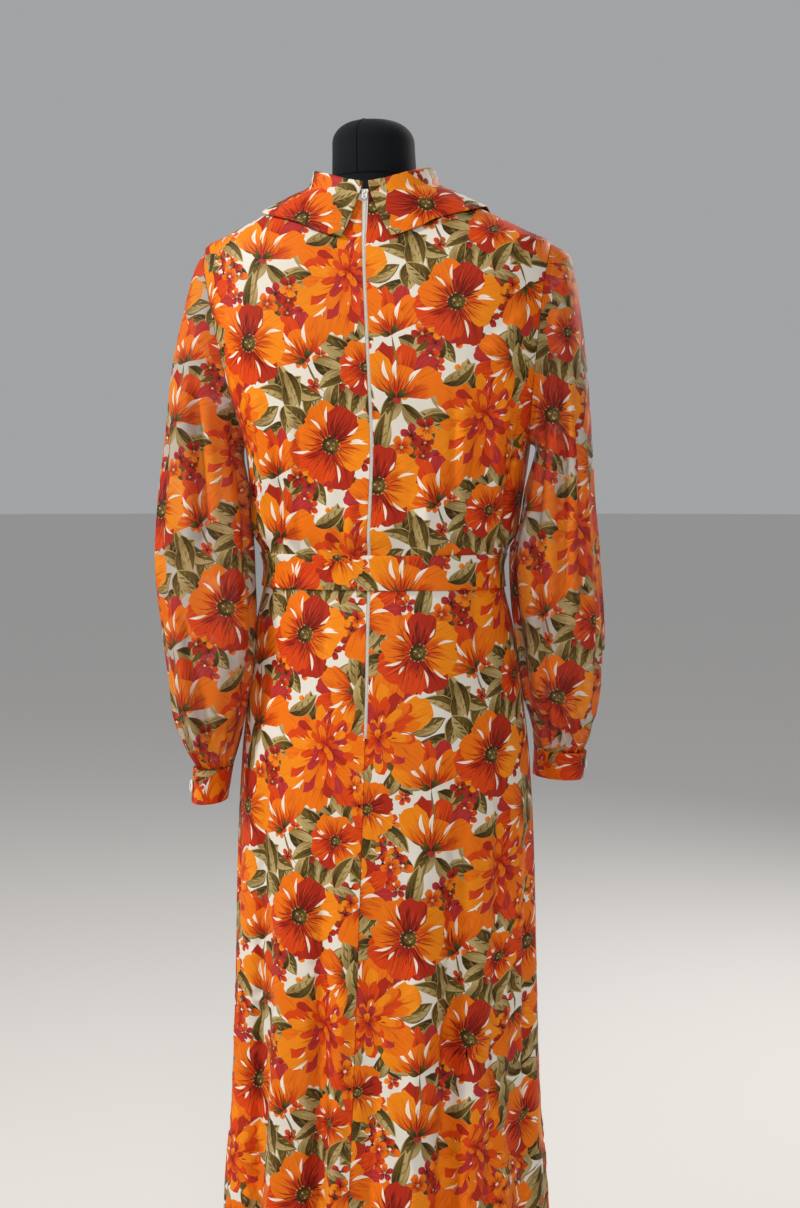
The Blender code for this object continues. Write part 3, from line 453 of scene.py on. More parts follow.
def turnEdge(cloth, side, thick, back=0.0):
    # folds an edge of the cloth inwards round a small radius, and runs it back underneath
    seen, unseen = sideViews[side], sideViewsBack[side]
    points, normals, flat = (seen(cloth[k]) for k in ("points", "normals", "flat"))
    radius = thick / 2
    out = unit(points[:, -1] - points[:, -2])
    flatOut = unit(flat[:, -1] - flat[:, -2])
    normal = normals[:, -1]
    base = points[:, -1] - out * radius
    flatBase = flat[:, -1] - flatOut * radius
    newPoints, newNormals, newFlat = [], [], []
    for bend in np.radians([0, 45, 90, 135, 180]):
        newPoints.append(base + out * radius * math.sin(bend) - normal * radius * (1 - math.cos(bend)))
        newNormals.append(normal * math.cos(bend) + out * math.sin(bend))
        newFlat.append(flatBase + flatOut * radius * bend)
    run = 0.0
    for j in range(2, points.shape[1]):
        step = np.linalg.norm(flat[:, -j] - flat[:, -1], axis=-1, keepdims=True)
        if run >= back:
            break
        run = float(step.mean())
        newPoints.append(points[:, -j] - normals[:, -j] * thick)
        newNormals.append(-normals[:, -j])
        newFlat.append(flatBase + flatOut * (radius * math.pi + step))
    for key, old, new in (
        ("points", points, newPoints),
        ("normals", normals, newNormals),
        ("flat", flat, newFlat),
    ):
        cloth[key] = unseen(np.concatenate([old[:, :-1], np.stack(new, axis=1)], axis=1))
    cloth["kept"][side] = len(newPoints)
    return cloth


def cutSize(flat):
    outline = rimOf(flat)
    after = np.roll(outline, -1, axis=0)
    twice = (outline[:, 0] * after[:, 1] - outline[:, 1] * after[:, 0]).sum()
    return outline.max(0) - outline.min(0), abs(twice) / 2


def closedBand(outer, inner, flat):
    # a band of two layers: rows run down its inside and up its outside, and its ends are closed;
    # flat is the outside's place on the cloth, and the inside is its other half, past the fold
    thick = np.linalg.norm(outer - inner, axis=-1, keepdims=True).mean()
    low, top = unit(flat[0] - flat[1]) * thick, unit(flat[-1] - flat[-2]) * thick
    within = 2 * flat[:1] - flat[::-1] + low * 1.4

    def section(out, within):
        low = (out[0] + within[0]) / 2 + unit(out[0] - out[1]) * thick * 0.4
        top = (out[-1] + within[-1]) / 2 + unit(out[-1] - out[-2]) * thick * 0.4
        return np.concatenate([within[::-1], [low], out, [top], within[-1:]])

    points = leaned(section(outer, inner))
    cloth = {
        "points": points,
        "flat": np.concatenate(
            [within, [flat[0] + low * 0.7], flat, [flat[-1] + top * 0.7], [flat[-1] + top * 1.4]]
        ),
    }
    ends = []
    for edge, inside in ((0, 1), (-1, -2)):
        middle = (outer[:, edge] + inner[:, edge]) / 2
        middle = middle + unit(outer[:, edge] - outer[:, inside]) * thick * 0.45
        closing = leaned(section(middle, middle + unit(inner[:, edge] - outer[:, edge]) * 0.00002))
        past = unit(cloth["flat"][:, edge] - cloth["flat"][:, inside]) * thick * 0.6
        ends.append((closing, cloth["flat"][:, edge] + past))
    cloth["points"] = np.concatenate(
        [ends[0][0][:, None], cloth["points"], ends[1][0][:, None]], axis=1
    )
    cloth["flat"] = np.concatenate([ends[0][1][:, None], cloth["flat"], ends[1][1][:, None]], axis=1)
    cloth["normals"] = gridNormals(cloth["points"])
    cloth["kept"] = {"left": 2, "right": 2, "bottom": 0, "top": 0}
    size, area = cutSize(flat)
    cloth["cut"] = (size * np.array([1, 2]), 2 * area)
    cloth["rowsKept"] = [len(inner) - 1, len(inner), len(inner) + 1]
    return cloth


# the print: motifs painted in order on one repeat of the cloth, each shape with its own frame, so the
# material can run its colours and brush strokes along the petal or the leaf
printSize = {"width": 0.320, "height": 0.320, "margin": 0.004, "merge": 2e-5}
repeatSize = np.array([printSize["width"], printSize["height"]])
paints = (  # tip, base, dark stroke and its strength, pale stroke and its strength, cover on chiffon
    ("ground", "#E3DCCF", "#E3DCCF", "#D5CABB", 0.10, "#EDE7DC", 0.20, 0.52),
    ("orange", "#E8700C", "#C03408", "#A42607", 0.60, "#F2921E", 0.25, 0.85),
    ("yellowOrange", "#EE8610", "#D65408", "#BE3E08", 0.55, "#F6A832", 0.35, 0.84),
    ("redOrange", "#D6420E", "#9C1E0C", "#74100A", 0.80, "#EA7018", 0.45, 0.87),
    ("darkRed", "#AC2A14", "#761410", "#4C0808", 0.75, "#D04018", 0.45, 0.90),
    ("crimson", "#B22E2C", "#84181E", "#5C0E18", 0.60, "#D05048", 0.40, 0.87),
    ("paleOlive", "#B79F68", "#967C46", "#634A22", 0.50, "#CDBB8C", 0.45, 0.82),
    ("olive", "#8A7038", "#6E5428", "#463212", 0.50, "#A89060", 0.40, 0.85),
    ("darkOlive", "#65501F", "#402F12", "#281A08", 0.55, "#86703A", 0.30, 0.95),
    ("white", "#F2EADE", "#EDD9C0", "#E6BC96", 0.30, "#FBF8F2", 0.20, 0.80),
    ("stamen", "#D4C486", "#B4A060", "#8A7640", 0.30, "#E8DCAA", 0.20, 0.90),
    ("brown", "#40290E", "#281A08", "#1A1204", 0.30, "#624818", 0.20, 0.95),
)
paintNumber = {paint[0]: number for number, paint in enumerate(paints)}
shapes = []


def turnedBy(points, angle):
    c, s = math.cos(angle), math.sin(angle)
    return np.asarray(points) @ np.array([[c, s], [-s, c]])


def addShape(outline, paint, base, angle, length, half):
    shapes.append(
        {
            "outline": turnedBy(outline, angle) + np.array(base),
            "paint": paintNumber[paint],
            "base": np.array(base),
            "along": np.array([math.cos(angle), math.sin(angle)]),
            "length": length,
            "half": half,
            "seed": (len(shapes) * 0.618) % 1.0,
        }
    )


def petal(base, angle, length, spread, paint, dice, points=11, ragged=0.05):
    # a fan from its base, broad and a little wavy at the tip
    share = np.linspace(-1, 1, points)
    reach = length * (1 - 0.42 * np.abs(share) ** 2.6)
    reach = reach * (1 + ragged * np.array([dice.uniform(-1, 1) for _ in share]))
    turn = share * spread
    tip = np.stack([reach * np.cos(turn), reach * np.sin(turn)], axis=1)
    outline = np.concatenate([[[0, 0]], tip])
    addShape(outline, paint, base, angle, length, length * math.sin(min(spread, 1.5)) * 0.75)


def blade(base, angle, length, width, paint, bend=0.0, points=5, side=0, sharp=1.0):
    # a leaf or a brush stroke, pointed at both ends; side keeps only one half of it
    share = np.linspace(0, 1, points + 1)[1:-1]
    half = width / 2 * np.sin(math.pi * share**0.85) ** sharp
    arch = bend * length * np.sin(math.pi * share)
    upper = np.stack([share * length, arch + half * (side >= 0)], axis=1)
    lower = np.stack([share * length, arch - half * (side <= 0)], axis=1)
    outline = np.concatenate([[[0, 0]], lower, [[length, 0]], upper[::-1]])
    addShape(outline, paint, base, angle, length, width / 2)


def disc(centre, radius, paint, points=8, squash=1.0, angle=0.0):
    turn = np.arange(points) * math.tau / points
    outline = np.stack([radius * np.cos(turn), radius * squash * np.sin(turn)], axis=1)
    addShape(outline, paint, centre, angle, radius, radius)


def onTurn(centre, radius, angle):
    return (centre[0] + radius * math.cos(angle), centre[1] + radius * math.sin(angle))


def leaf(base, angle, length, width, dice, dark="darkOlive", light="paleOlive"):
    bend = dice.uniform(-0.12, 0.12)
    tones = (light, dark) if dice.random() < 0.75 else (dark, light)
    blade(base, angle, length, width, tones[0], bend, 8, sharp=0.8)
    blade(base, angle, length * 0.97, width * 0.90, tones[1], bend, 7, dice.choice((-1, 1)), 0.8)
    for i in range(3):
        share = 0.22 + 0.21 * i
        at = onTurn(base, length * share, angle + bend * 1.6 * (1 - share))
        for way in (-1, 1):
            vein = width * (0.54 - 0.08 * i) * dice.uniform(0.7, 1.15)
            tone = tones[1] if way > 0 else "olive"
            blade(at, angle + way * 0.5, vein, width * 0.07, tone, 0.06 * way, 3)


def fern(base, angle, length, count, dice, paint="darkOlive"):
    for i in range(count):
        way = (i / (count - 1) - 0.5) * 2
        long = length * (1 - 0.35 * abs(way)) * dice.uniform(0.8, 1.15)
        tone = paint if dice.random() < 0.6 else dice.choice(("olive", "paleOlive"))
        blade(base, angle + way * 0.9, long, length * 0.17, tone, 0.12 * way, 5)


def stamens(centre, radius, turn, dice):
    for i in range(18):
        angle = turn + i * math.tau / 18 + dice.uniform(-0.1, 0.1)
        blade(onTurn(centre, radius * 0.14, angle), angle, radius * dice.uniform(0.12, 0.34),
              radius * 0.035, dice.choice(("darkRed", "darkRed", "crimson", "brown")), 0.05, 3)
    disc(centre, radius * 0.20, "darkOlive", 12)
    for i in range(13):
        disc(onTurn(centre, radius * dice.uniform(0.185, 0.215), i * math.tau / 13 + turn),
             radius * 0.020, dice.choice(("stamen", "stamen", "brown")), 4)
    disc(centre, radius * 0.115, "olive", 9)
    for i in range(5):
        blade(onTurn(centre, radius * 0.03, turn + i * 1.26), turn + i * 1.26, radius * 0.08,
              radius * 0.03, "stamen" if i % 2 else "brown", 0, 3)


def openPoppy(centre, radius, turn, dice):
    # broad petals, some of them red and drawn over with long curved strokes
    back = ("orange", "redOrange", "darkRed", "yellowOrange")
    for i in range(4):
        petal(centre, turn + 0.7 + i * 1.57, radius * dice.uniform(0.92, 1.04), 0.72, back[i], dice, 15)
    front = ("redOrange", "orange", "redOrange", "orange") if dice.random() < 0.5 else (
        "darkRed", "orange", "redOrange", "yellowOrange")
    for i in range(4):
        angle = turn + i * 1.57 + dice.uniform(-0.1, 0.1)
        petal(centre, angle, radius * dice.uniform(0.86, 1.0), 0.66, front[i], dice, 15)
        streak = "redOrange" if front[i] == "darkRed" else "darkRed"
        for k in range(5):
            way = (k - 2) * 0.24 + dice.uniform(-0.04, 0.04)
            reach = radius * dice.uniform(0.34, 0.60)
            blade(onTurn(centre, radius * 0.22, angle + way), angle + way * 1.25, reach,
                  radius * 0.026, streak, 0.10 * way, 4)
        for k in range(2):
            way = dice.choice((-0.6, 0.6)) + dice.uniform(-0.08, 0.08)
            blade(onTurn(centre, radius * dice.uniform(0.40, 0.52), angle + way), angle + way * 0.7,
                  radius * dice.uniform(0.22, 0.44), radius * 0.065, "white", 0.12 * way, 5)
    stamens(centre, radius, turn, dice)


def peony(centre, radius, turn, dice):
    # a few broad petals round rows of narrow, shaggy ones
    for i in range(5):
        angle = turn + 2.2 + i * 0.95 + dice.uniform(-0.1, 0.1)
        petal(onTurn(centre, radius * 0.12, angle), angle, radius * 1.08, 0.56,
              ("orange", "yellowOrange", "orange", "redOrange", "orange")[i], dice, 13)
        blade(onTurn(centre, radius * 0.72, angle + 0.38), angle + 0.2, radius * 0.40,
              radius * 0.06, "white", 0.1, 4)
    rows = (
        (13, 0.98, 0.24, 0.00),
        (13, 0.84, 0.23, 0.04),
        (12, 0.71, 0.24, 0.08),
        (11, 0.58, 0.26, 0.11),
        (9, 0.45, 0.30, 0.14),
        (7, 0.32, 0.38, 0.17),
        (4, 0.20, 0.55, 0.20),
    )
    tones = ("redOrange", "orange", "darkRed", "redOrange", "yellowOrange", "orange", "crimson")
    for row, (count, reach, spread, off) in enumerate(rows):
        middle = onTurn(centre, radius * off, turn + 1.4)
        for i in range(count):
            angle = turn + (i + 0.5 * (row % 2)) * math.tau / count + dice.uniform(-0.10, 0.10)
            long = radius * reach * dice.uniform(0.86, 1.07)
            petal(middle, angle, long, spread, tones[dice.randrange(7)], dice, 6, 0.06)
            if row < 5 and dice.random() < 0.42:
                at = onTurn(middle, long * 0.60, angle + spread * dice.uniform(-0.8, 0.8))
                blade(at, angle + dice.uniform(-0.2, 0.2), long * 0.30, radius * 0.034,
                      dice.choice(("white", "yellowOrange", "darkRed", "white")), 0.08, 3)


def cupPoppy(base, size, turn, dice):
    # seen from the side: dark petals within, bright ones folded round them, and its stem
    blade(base, turn + math.pi, size * 0.80, size * 0.050, "olive", dice.uniform(-0.15, 0.15), 6)
    for way, tone in ((-0.50, "crimson"), (0.46, "darkRed"), (0.0, "redOrange")):
        petal(base, turn + way, size * 1.04, 0.36, tone, dice, 9, 0.06)
    for way, tone in ((-0.86, "orange"), (0.82, "yellowOrange")):
        petal(base, turn + way, size * 0.98, 0.50, tone, dice, 12)
    petal(onTurn(base, -size * 0.03, turn), turn - 0.15, size * 0.68, 0.70, "orange", dice, 12)
    for way in (-0.55, 0.22, 0.62):
        blade(onTurn(base, size * 0.34, turn + way), turn + way * 0.8, size * 0.42,
              size * 0.085, "white", 0.12, 5)
    for way in (-0.45, -0.2, 0.05, 0.3, -0.9, 0.7, 0.95):
        blade(onTurn(base, size * 0.08, turn + way), turn + way, size * dice.uniform(0.26, 0.50),
              size * 0.026, "darkRed", 0.08 * way, 3)
    for way in (-1.2, -0.7, 0.8, 1.3):
        blade(base, turn + way, size * 0.28, size * 0.09, "darkOlive", 0.1, 4)


def blossom(centre, radius, turn, dice, tones):
    main = dice.choice(tones)
    for i in range(5):
        angle = turn + i * math.tau / 5
        petal(centre, angle, radius, 0.60, main if dice.random() < 0.7 else dice.choice(tones),
              dice, 6, 0.06)
    for i in range(5):
        angle = turn + 0.3 + i * math.tau / 5
        blade(centre, angle, radius * 0.55, radius * 0.09, "darkRed", 0, 3)
    disc(centre, radius * 0.15, dice.choice(("stamen", "brown", "white")), 5)


warmTones = ("orange", "redOrange", "yellowOrange", "crimson", "darkRed")


def cluster(centre, radius, count, dice, tones=warmTones):
    for i in range(count):
        angle = i * 2.4 + dice.uniform(-0.2, 0.2)
        far = radius * math.sqrt((i + 0.4) / count)
        blossom(onTurn(centre, far, angle), dice.uniform(0.0105, 0.0138), dice.uniform(0, 6),
                dice, tones)


def spike(base, length, turn, dice, count=13):
    bend = dice.choice((-0.35, 0.35))
    blade(base, turn, length, length * 0.025, "olive", bend * 0.3, 6)
    for i in range(count):
        share = (i / count) ** 0.9
        size = 0.0105 * (1 - share) + 0.0030
        at = onTurn(base, length * share, turn + bend * 0.55 * (1 - share))
        at = onTurn(at, size * 0.8, turn + (1.57 if i % 2 else -1.57))
        tones = warmTones[:4] if share < 0.6 else ("olive", "paleOlive")
        for j in range(3):
            petal(at, turn + dice.uniform(-0.4, 0.4) + j * 2.1, size, 0.62, dice.choice(tones), dice, 5)
        if share < 0.6:
            disc(at, size * 0.16, dice.choice(("white", "brown")), 4)


def bud(base, size, turn, dice):
    blade(base, turn + math.pi, size * 1.9, size * 0.11, "olive", dice.uniform(-0.2, 0.2), 5)
    blade(base, turn, size, size * 0.72, "redOrange", 0.0, 7)
    blade(base, turn + 0.12, size * 0.96, size * 0.42, "orange", 0.05, 6)
    for way in (-0.5, 0.0, 0.5):
        blade(onTurn(base, -size * 0.12, turn), turn + way, size * 0.55, size * 0.16, "darkOlive", 0.1, 4)


def paintRepeat():
    # millimetres on the repeat; places, sizes and turns in degrees are this design's own
    dice = random.Random(11)
    mm = 0.001
    flowers = (
        ("cupPoppy", 288, 268, 58, 75),
        ("cupPoppy", 16, 150, 54, 118),
        ("cupPoppy", 122, 74, 54, -64),
        ("cupPoppy", 286, 18, 52, 100),
        ("cupPoppy", 196, 214, 48, 32),
        ("cupPoppy", 104, 308, 46, 196),
        ("peony", 70, 240, 55, 20),
        ("peony", 222, 84, 53, 200),
        ("openPoppy", 156, 268, 46, 40),
        ("openPoppy", 146, 150, 48, 10),
        ("openPoppy", 40, 54, 50, 66),
        ("openPoppy", 266, 170, 49, 80),
        ("openPoppy", 84, 142, 32, 30),
        ("openPoppy", 214, 314, 34, 15),
    )
    for row in range(11):
        for column in range(11):
            x = (column + 0.5 * (row % 2) + dice.uniform(0.1, 0.9)) * 29.1
            y = (row + dice.uniform(0.1, 0.9)) * 29.1
            at, angle, pick = (x * mm, y * mm), dice.uniform(0, math.tau), dice.random()
            if dice.random() < 0.35:
                leaf(at, angle + 2.2, dice.uniform(0.036, 0.050), dice.uniform(0.016, 0.023), dice)
            if pick < 0.50:
                for way in (-0.45, 0.45)[: dice.randint(1, 2)]:
                    leaf(at, angle + way, dice.uniform(0.034, 0.050), dice.uniform(0.014, 0.021), dice)
            elif pick < 0.58:
                fern(at, angle, dice.uniform(0.020, 0.030), 5, dice)
            elif pick < 0.64:
                bud(at, dice.uniform(0.010, 0.014), angle, dice)
            elif pick < 0.97:
                blossom(at, dice.uniform(0.0095, 0.0130), angle, dice, warmTones)
    for x, y, turn, length in (
        (196, 168, -76, 84), (96, 100, -112, 74), (4, 220, -95, 66), (118, 206, 74, 60),
        (246, 250, 100, 62),
    ):
        spike((x * mm, y * mm), length * mm, math.radians(turn), dice)
    for kind, x, y, size, turn in flowers:
        count = 5 if kind != "cupPoppy" else 2
        for i in range(count):
            angle = math.radians(turn) + (i + 0.3) * math.tau / count + dice.uniform(-0.35, 0.35)
            reach = size * (0.66 if kind != "cupPoppy" else 0.15)
            base = onTurn((x * mm, y * mm), reach * mm, angle)
            leaf(base, angle + dice.uniform(-0.5, 0.5), dice.uniform(0.036, 0.052),
                 dice.uniform(0.017, 0.025), dice)
    for x, y, radius, count in (
        (232, 236, 24, 6), (92, 60, 20, 4), (312, 218, 22, 5), (8, 10, 20, 4), (250, 128, 20, 4),
        (150, 212, 18, 4),
    ):
        cluster((x * mm, y * mm), radius * mm, count, dice)
    makers = {"peony": peony, "openPoppy": openPoppy, "cupPoppy": cupPoppy}
    for kind, x, y, size, turn in flowers:
        makers[kind]((x * mm, y * mm), size * mm, math.radians(turn), dice)
    for x, y, turn in ((118, 286, 100), (192, 190, 250), (84, 88, 60), (310, 138, 290), (20, 284, 30)):
        leaf((x * mm, y * mm), math.radians(turn), 0.044, 0.018, dice)
    cluster((0.182, 0.112), 0.016, 3, dice, ("redOrange", "crimson", "orange"))
    cluster((0.112, 0.196), 0.015, 3, dice, ("orange", "yellowOrange", "redOrange"))


def resolveRepeat():
    # which shape is on top everywhere on one repeat, and the edges that show
    corners = [(0, 0), (repeatSize[0], 0), tuple(repeatSize), (0, repeatSize[1])]
    coords, faces, owners = [Vector(c) for c in corners], [[0, 1, 2, 3]], [None]
    for shape in shapes:
        low, high = shape["outline"].min(0), shape["outline"].max(0)
        for dx in (-1, 0, 1):
            for dy in (-1, 0, 1):
                shift = np.array([dx, dy]) * repeatSize
                if (low + shift < repeatSize).all() and (high + shift > 0).all():
                    faces.append(list(range(len(coords), len(coords) + len(shape["outline"]))))
                    coords += [Vector(p) for p in shape["outline"] + shift]
                    owners.append({**shape, "base": shape["base"] + shift})
    made = delaunay_2d_cdt(coords, [], faces, 0, 1e-6)
    bm = bmesh.new()
    verts = [bm.verts.new((v.x, v.y, 0)) for v in made[0]]
    tops, triangles = [], []
    for face, inside in zip(made[2], made[5]):
        if 0 in inside:
            top = max(inside)
            tops.append(top)
            triangles.append(face)
            bm.faces.new([verts[i] for i in face]).material_index = top
    lookup = BVHTree.FromPolygons([v.to_3d() for v in made[0]], triangles)
    loose = [v for v in bm.verts if not v.link_faces]
    bmesh.ops.delete(bm, geom=loose, context="VERTS")
    bmesh.ops.dissolve_limit(
        bm, angle_limit=math.radians(4), use_dissolve_boundaries=False,
        verts=bm.verts, edges=bm.edges, delimit={"MATERIAL"},
    )
    bm.verts.index_update()
    points = np.array([v.co[:2] for v in bm.verts])
    edges = [
        (e.verts[0].index, e.verts[1].index)
        for e in bm.edges
        if len(e.link_faces) == 2
        and e.link_faces[0].material_index != e.link_faces[1].material_index
    ]
    bm.free()
    used = np.unique(edges)
    renumber = {old: new for new, old in enumerate(used)}
    return {
        "points": points[used],
        "edges": [(renumber[a], renumber[b]) for a, b in edges],
        "lookup": lookup,
        "tops": tops,
        "owners": owners,
    }


paintRepeat()
repeat = resolveRepeat()
print("print resolved:", len(shapes), "shapes,", len(repeat["edges"]), "edges that show")


def printLines(flat, offset):
    # the print's visible edges over the box of a flat piece
    low, high = flat.reshape(-1, 2).min(0), flat.reshape(-1, 2).max(0)
    first, last = np.floor((low - offset) / repeatSize), np.floor((high - offset) / repeatSize)
    margin = printSize["margin"]
    coords, edges = [], []
    for i in range(int(first[0]), int(last[0]) + 1):
        for j in range(int(first[1]), int(last[1]) + 1):
            moved = repeat["points"] + offset + np.array([i, j]) * repeatSize
            near = (moved > low - margin).all(1) & (moved < high + margin).all(1)
            number = np.cumsum(near) - 1 + len(coords)
            edges += [(number[a], number[b]) for a, b in repeat["edges"] if near[a] and near[b]]
            coords += list(moved[near])
    return coords, edges


def whereOnGrid(flat, queries):
    # for places on the flat cloth: the three grid points round each, and their weights
    rows, columns = flat.shape[:2]
    at = flat.reshape(-1, 2)
    triangles = gridTriangles(rows, columns)
    tree = BVHTree.FromPolygons([(*p, 0.0) for p in at], triangles.tolist())
    found = [tree.find_nearest((*q, 0.0))[2] for q in queries]
    corners = triangles[found]
    a, b, c = at[corners[:, 0]], at[corners[:, 1]], at[corners[:, 2]]
    q = np.asarray(queries)
    whole = np.cross(b - a, c - a)
    whole = np.where(np.abs(whole) < 1e-14, 1e-14, whole)
    second, third = np.cross(q - a, c - a) / whole, np.cross(b - a, q - a) / whole
    weights = np.clip(np.stack([1 - second - third, second, third], axis=1), 0, 1)
    return corners, weights / weights.sum(1, keepdims=True)


def printedPiece(node, cloth, offset, material):
    name = f"{node}_cloth"
    points, normals, flat = cloth["points"], cloth["normals"], cloth["flat"]
    rows, columns = flat.shape[:2]
    number = np.arange(rows * columns).reshape(rows, columns)
    kept = cloth["kept"]
    lines = [number[:, j] for j in range(kept["left"])]
    lines += [number[:, columns - 1 - j] for j in range(kept["right"])]
    lines += [number[i] for i in range(kept["bottom"])]
    lines += [number[rows - 1 - i] for i in range(kept["top"])]
    lines += [number[i] for i in cloth.get("rowsKept", ())]
    edges = [(a, b) for line in lines for a, b in zip(line[:-1], line[1:])]
    coords, printed = printLines(flat, offset)
    base = rows * columns
    edges += [(a + base, b + base) for a, b in printed]
    everything = np.concatenate([flat.reshape(-1, 2), np.array(coords).reshape(-1, 2)])
    made = delaunay_2d_cdt(
        [Vector(p) for p in everything], [(int(a), int(b)) for a, b in edges],
        [rimOf(number).tolist()], 0, printSize["merge"],
    )
    faces = np.array([f for f, inside in zip(made[2], made[5]) if inside])
    used = np.unique(faces)
    renumber = np.zeros(len(made[0]), int)
    renumber[used] = np.arange(len(used))
    faces = renumber[faces]
    places = np.array([made[0][i] for i in used])
    corners, weights = whereOnGrid(flat, places)
    position = (points.reshape(-1, 3)[corners] * weights[..., None]).sum(1)
    normal = unit((normals.reshape(-1, 3)[corners] * weights[..., None]).sum(1))

    centre = places[faces].mean(1) - offset
    tile = np.floor(centre / repeatSize)
    local = centre - tile * repeatSize
    owners = [
        repeat["owners"][repeat["tops"][repeat["lookup"].find_nearest((*p, 0.0))[2]]] for p in local
    ]
    blank = {
        "paint": 0,
        "base": np.zeros(2),
        "along": np.array([1.0, 0]),
        "length": 1.0,
        "half": 1.0,
        "seed": 0.0,
    }
    owners = [owner or blank for owner in owners]
    fieldOf = {k: np.array([o[k] for o in owners]) for k in blank}
    away = places[faces] - (offset + tile * repeatSize + fieldOf["base"])[:, None]
    along = fieldOf["along"][:, None]
    u = (away * along).sum(-1) / fieldOf["length"][:, None]
    v = (away[..., 1] * along[..., 0] - away[..., 0] * along[..., 1]) / fieldOf["half"][:, None]
    seed = np.repeat(fieldOf["seed"][:, None], 3, axis=1)

    mesh = bpy.data.meshes.new(name)
    mesh.from_pydata(position.tolist(), [], faces.tolist())
    mesh.shade_smooth()
    paint = mesh.attributes.new("paint", "FLOAT", "FACE")
    paint.data.foreach_set("value", (fieldOf["paint"] + 0.5) / len(paints))
    stroke = mesh.attributes.new("stroke", "FLOAT_VECTOR", "CORNER")
    stroke.data.foreach_set("vector", np.stack([u, v, seed], axis=-1).ravel())
    mesh.uv_layers.new(name="cloth").data.foreach_set("uv", places[faces].ravel())
    mesh.normals_split_custom_set_from_vertices(normal.tolist())
    mesh.materials.append(material)
    piece = bpy.data.objects.new(name, mesh)
    bpy.context.scene.collection.objects.link(piece)
    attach(piece, "dress_and_form")
    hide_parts(node)


# materials
def linear(code):
    channels = [int(code[i : i + 2], 16) / 255 for i in (1, 3, 5)]
    return (*(c / 12.92 if c <= 0.04045 else ((c + 0.055) / 1.055) ** 2.4 for c in channels), 1.0)


class Nodes:
    # short calls for a material's nodes
    def __init__(self, name):
        self.material = bpy.data.materials.new(name)
        self.material.use_nodes = True
        self.tree = self.material.node_tree
        self.shader = self.tree.nodes["Principled BSDF"]

    def add(self, kind, **settings):
        node = self.tree.nodes.new(kind)
        for key, value in settings.items():
            setattr(node, key, value)
        return node

    def link(self, source, target):
        self.tree.links.new(source, target)

    def value(self, target, given):
        if isinstance(given, bpy.types.NodeSocket):
            self.link(given, target)
        else:
            target.default_value = given

    def math(self, operation, a, b=0.0, clamp=False):
        node = self.add("ShaderNodeMath", operation=operation, use_clamp=clamp)
        self.value(node.inputs[0], a)
        self.value(node.inputs[1], b)
        return node.outputs[0]

    def mix(self, factor, a, b):
        node = self.add("ShaderNodeMix", data_type="RGBA")
        self.value(node.inputs[0], factor)
        self.value(node.inputs[6], a)
        self.value(node.inputs[7], b)
        return node.outputs[2]

    def remap(self, given, low, high, to=(0.0, 1.0)):
        node = self.add("ShaderNodeMapRange", interpolation_type="SMOOTHSTEP")
        self.link(given, node.inputs[0])
        for i, number in enumerate((low, high, *to)):
            node.inputs[i + 1].default_value = number
        return node.outputs[0]

    def noise(self, vector, scale, detail=2.0, roughness=0.5):
        node = self.add("ShaderNodeTexNoise")
        self.link(vector, node.inputs["Vector"])
        node.inputs["Scale"].default_value = scale
        node.inputs["Detail"].default_value = detail
        node.inputs["Roughness"].default_value = roughness
        return node.outputs["Fac"]

    def steps(self, factor, colors):
        ramp = self.add("ShaderNodeValToRGB")
        ramp.color_ramp.interpolation = "CONSTANT"
        stops = ramp.color_ramp.elements
        for number, color in enumerate(colors):
            place = number / len(colors)
            stop = stops[number] if number < 2 else stops.new(place)
            stop.position = place
            stop.color = color
        self.link(factor, ramp.inputs[0])
        return ramp.outputs["Color"]

    def place(self):
        return self.add("ShaderNodeTexCoord").outputs["Object"]

    def color(self, factor, first, second):
        self.link(self.mix(factor, linear(first), linear(second)), self.shader.inputs["Base Color"])

    def roughness(self, given, low, high, to):
        self.link(self.remap(given, low, high, to), self.shader.inputs["Roughness"])

    def constants(self, values):
        for name, value in values.items():
            self.shader.inputs[name].default_value = value

    def bump(self, height, strength, distance):
        node = self.add("ShaderNodeBump")
        node.inputs["Strength"].default_value = strength
        node.inputs["Distance"].default_value = distance
        self.link(height, node.inputs["Height"])
        self.link(node.outputs[0], self.shader.inputs["Normal"])


